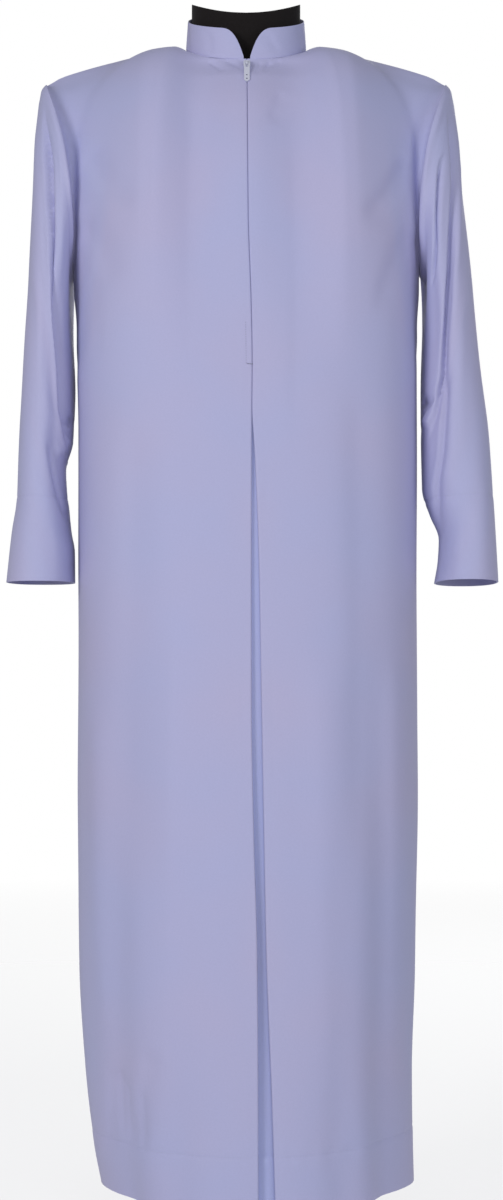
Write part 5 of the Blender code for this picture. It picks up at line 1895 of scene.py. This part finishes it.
@dataclass
class FormCover(CarriedPart):
    """The dress form's cover, with its neck cut drawn again as a smooth shallow dish.

    Attributes:
        cut_z: height of the cut's middle.
        slope: how fast the cut rises toward the back.
        dish: how far its sides stand above its middle.
        half: half width of the cut.
        rings: sizes of the rings laid over the cut, as shares of its rim.
    """

    cut_z: float = 1.5055
    slope: float = 0.2583
    dish: float = 0.010
    half: float = 0.0655
    rings: tuple[float, ...] = (0.93, 0.8, 0.6, 0.4, 0.2)

    def reshape(self, bm: bmesh.types.BMesh) -> None:
        """Lay rings over the neck cut in place of its flat fan.

        Args:
            bm: the merged copy.
        """
        centre = Vector((0.0, SIZES.neck_y, self.cut_z))
        middle = min(bm.verts, key=lambda vert: (vert.co - centre).length)
        rim = sorted((edge.other_vert(middle) for edge in middle.link_edges),
                     key=lambda vert: math.atan2(vert.co.y - centre.y, vert.co.x))
        bmesh.ops.delete(bm, geom=[middle], context="VERTS")
        outer = rim
        for share in self.rings:
            inner = []
            for vert in rim:
                x, y = vert.co.x * share, (vert.co.y - centre.y) * share
                z = self.cut_z + self.slope * y + self.dish * (x / self.half) ** 2
                inner.append(bm.verts.new((x, centre.y + y, z)))
            for i, vert in enumerate(outer):
                after = (i + 1) % len(outer)
                bm.faces.new((vert, outer[after], inner[after], inner[i]))
            outer = inner
        bm.faces.new(outer)


@dataclass
class Studio:
    """Pale floor, soft lights and the camera at the photograph's viewing angle."""

    camera_place: tuple[float, float, float] = (0.0066, -2.7, 0.80)
    lens: float = 67.5
    floor_radius: float = 9.0

    def build(self) -> None:
        """Set the floor, the lights, the surroundings and the camera."""
        self._floor()
        self._surroundings()
        for row in LAMPS:
            self._lamp(*row)
        data = bpy.data.cameras.new("camera")
        data.sensor_width, data.lens, data.clip_end = 36.0, self.lens, 100.0
        camera = linked("camera", data)
        camera.location = self.camera_place
        camera.rotation_euler = (math.radians(90.0), 0.0, 0.0)
        bpy.context.scene.camera = camera
        bpy.context.scene.view_settings.view_transform = "Standard"

    def _floor(self) -> None:
        """A pale disc that fades out far from the stand."""
        bm = bmesh.new()
        bmesh.ops.create_circle(bm, cap_ends=True, segments=64, radius=self.floor_radius)
        mesh = bpy.data.meshes.new("floor")
        bm.to_mesh(mesh)
        bm.free()
        finish = Finish("pale_floor", (0.86, 0.86, 0.87))
        place = finish.place()
        x, y, _ = finish.split(place)
        far = ((x * x + y * y) ** 0.5) / self.floor_radius
        grain = finish.noise(place, 60.0, 4.0)
        finish.set(Base_Color=finish.blend(grain * 0.15, (0.88, 0.88, 0.89), (0.80, 0.80, 0.81)),
                   Roughness=0.75 + grain * 0.1, Alpha=finish.fade(far, (0.12, 0.50), (0.42, 0.0)),
                   Emission_Color=(1.0, 1.0, 1.0), Emission_Strength=0.30)
        mesh.materials.append(finish.material)
        linked("floor", mesh)

    def _surroundings(self) -> None:
        """White surroundings that light the scene more softly than they look."""
        world = bpy.data.worlds.new("studio")
        world.use_nodes = True
        world.node_tree.nodes.clear()
        bench = Bench(world.node_tree)
        lit = bench.node("ShaderNodeBackground", {}, {"Color": (0.93, 0.95, 1.0), "Strength": 0.27})
        seen = bench.node("ShaderNodeBackground", {}, {"Color": (1.0, 1.0, 1.0), "Strength": 1.0})
        on_view = bench.node("ShaderNodeLightPath", output="Is Camera Ray")
        mixed = bench.node("ShaderNodeMixShader", {}, {0: on_view, 1: lit, 2: seen})
        bench.node("ShaderNodeOutputWorld", {}, {"Surface": mixed})
        bpy.context.scene.world = world

    def _lamp(self, name: str, place: Sequence[float], target: Sequence[float], size: float,
              power: float, colour: Sequence[float]) -> None:
        """One soft square light turned to a target.

        Args:
            name: the light's name.
            place: where it stands.
            target: what it is turned to.
            size: its side, in metres.
            power: its power, in watts.
            colour: its colour.
        """
        data = bpy.data.lights.new(name, "AREA")
        data.size, data.energy, data.color = size, power, colour
        lamp = linked(name, data)
        lamp.location = place
        lamp.rotation_euler = (Vector(target) - Vector(place)).to_track_quat("-Z", "Y").to_euler()


class Wardrobe:
    def __init__(self) -> None:
        """Mix every finish once, and wire the sewing tree."""
        self.cloth = ALB_CLOTH.material()
        self.painted_light_pleat_cloth = PLEAT_PAINTED_LIGHT_CLOTH.material()
        self.tape = ZIP_CLOTH.material()
        self.jersey = FORM_JERSEY.material()
        self.enamel = WHITE_ENAMEL.material()
        self.steel = BLACK_COAT.material()
        self.thread = WHITE_THREAD.material()
        self.painted_shade_thread = SHADE_PAINTED_THREAD.material()
        self.stitches = StitchTree()

    def place(self, piece: bpy.types.Object, slot: str, *nodes: str,
              body: str = "alb_on_form") -> None:
        """Ride a piece on its body, hide the nodes it stands for, and report it.

        Args:
            piece: the piece.
            slot: the record's material slot; not used.
            *nodes: the CAD nodes it stands for.
            body: the body it rides on.
        """
        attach(piece, body)
        if nodes:
            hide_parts(*nodes)
        LOG.info("%s: %d faces on %s", piece.name, len(piece.data.polygons), body)

    def hang(self, piece: bpy.types.Object, slot: str, node: str) -> None:
        """Place a piece of cloth on the alb's body and hide the CAD node it stands for.

        Args:
            piece: the piece.
            slot: the record's material slot; not used.
            node: the CAD node it stands for.
        """
        self.place(piece, slot, node)

    def stand_and_form(self) -> None:
        """The dress form, its pole and its base."""
        form = FormCover("form_torso", "form_cover", 0.0016, levels=1, sharp=50.0)
        self.place(form.piece(self.jersey), "form_cover", "form_torso")
        for node, name, edge in (("form_pole", "stand_pole", 0.0008),
                                 ("form_base", "stand_base", 0.0010)):
            self.place(CarriedPart(node, name, edge).piece(self.steel), "stand_metal", node)

    def zip_hardware(self) -> None:
        """The slider and its pull tab."""
        slider = CarriedPart("zip_slider", "zip_slider_body", 0.0002).piece(self.enamel)
        self.place(slider, "zip_metal", "zip_slider")
        pull = CarriedPart("zip_pull", "zip_pull_tab", 0.00018).piece(self.enamel)
        self.place(pull, "zip_metal", "zip_pull", body="pull_tab")

    def body(self) -> BodyPanels:
        """The fronts, back, underlay, tape and collar.

        Returns:
            The panels, for their stitches.
        """
        panels = BodyPanels(SIZES)
        for side, name, area in zip(Side, ("front_left", "front_right"), (0.43, 0.46)):
            piece = panels.front(side, f"alb_{name}", self.cloth)
            self.hang(piece, "alb_cloth", name)
        self.hang(panels.back(self.cloth), "alb_cloth", "back")
        # The underlay wears the lighter copy of the cloth: painted light in the pleat's recess
        underlay = panels.underlay(self.painted_light_pleat_cloth)
        self.hang(underlay, "alb_cloth", "pleat_underlay")
        self.hang(panels.tape(self.tape), "zip_tape", "zip_tape")
        collar = StandCollar(panels.surface, SIZES).piece(self.cloth)
        self.hang(collar, "alb_cloth", "collar")
        return panels

    def sleeves(self) -> list[Sleeve]:
        """Both sleeves.

        Returns:
            The sleeves, for their stitches.
        """
        made = [Sleeve(Side.LEFT, SLEEVE_LEFT, TROUGHS_LEFT, SLEEVE_LEFT_CREASES, 0.060, SIZES),
                Sleeve(Side.RIGHT, SLEEVE_RIGHT, TROUGHS_RIGHT, SLEEVE_RIGHT_CREASES, 0.030, SIZES)]
        for sleeve, name in zip(made, ("sleeve_left", "sleeve_right")):
            piece = sleeve.piece(f"alb_{name}", self.cloth)
            self.hang(piece, "alb_cloth", name)
        return made

    def sewing(self, panels: BodyPanels, sleeves: Sequence[Sleeve]) -> None:
        """Hem stitches, the placket's topstitching, the zip's stop and its teeth.

        Args:
            panels: the body's panels.
            sleeves: both sleeves.
        """
        small = {"Length": 0.0021, "Gap": 0.0008, "Radius": 0.00026, "Rise": 0.00005, "Turn": 0.0,
                 "Seed": 4, "Finish": self.thread}
        hems = panels.hem_runs() + [sleeve.hem_run() for sleeve in sleeves]
        self.place(self.stitches.sew("hem_stitches", hems, small), "alb_cloth")
        line = float(panels.surface.edges[Side.RIGHT](SIZES.stop_row_z))
        left = line - SIZES.stop_row_gap
        row = [panels.on_front(((left - 0.0006, 1.116), (left, 1.0700)))]
        # The topstitching and the stop bar use the darker thread: painted shade of the pulled-in
        # cloth
        topstitch = {**small, "Gap": 0.0005, "Rise": 0.00008, "Finish": self.painted_shade_thread}
        self.place(self.stitches.sew("placket_stitches", row, topstitch), "alb_cloth")
        bar = [panels.on_front(((left + 0.0008, 1.0688), (line + 0.0010, 1.0684)))]
        satin = {**small, "Length": 0.0014, "Gap": -0.0010, "Radius": 0.00024, "Rise": 0.00012,
                 "Turn": math.pi / 2, "Finish": self.painted_shade_thread}
        self.place(self.stitches.sew("zip_stop_bar", bar, satin), "alb_cloth")
        middle, ways = panels.tape_middle, panels.tape_normals
        rows = [StitchRun(middle + ways * (SIZES.tape_wall / 2) + [aside, 0.0, 0.0], ways)
                for aside in (-SIZES.tooth_offset, SIZES.tooth_offset)]
        teeth = {"Length": 0.0018, "Gap": -0.0004, "Radius": 0.00045, "Rise": 0.0002,
                 "Turn": math.pi / 2, "Seed": 9, "Finish": self.tape}
        self.place(self.stitches.sew("zip_teeth", rows, teeth), "zip_tape")


def main() -> None:
    """Build every piece in order and report it."""
    logging.basicConfig(level=logging.INFO, format="%(name)s %(message)s")
    wardrobe = Wardrobe()
    wardrobe.stand_and_form()
    panels = wardrobe.body()
    sleeves = wardrobe.sleeves()
    wardrobe.zip_hardware()
    wardrobe.sewing(panels, sleeves)
    Studio().build()


if __name__ == "__main__":
    main()
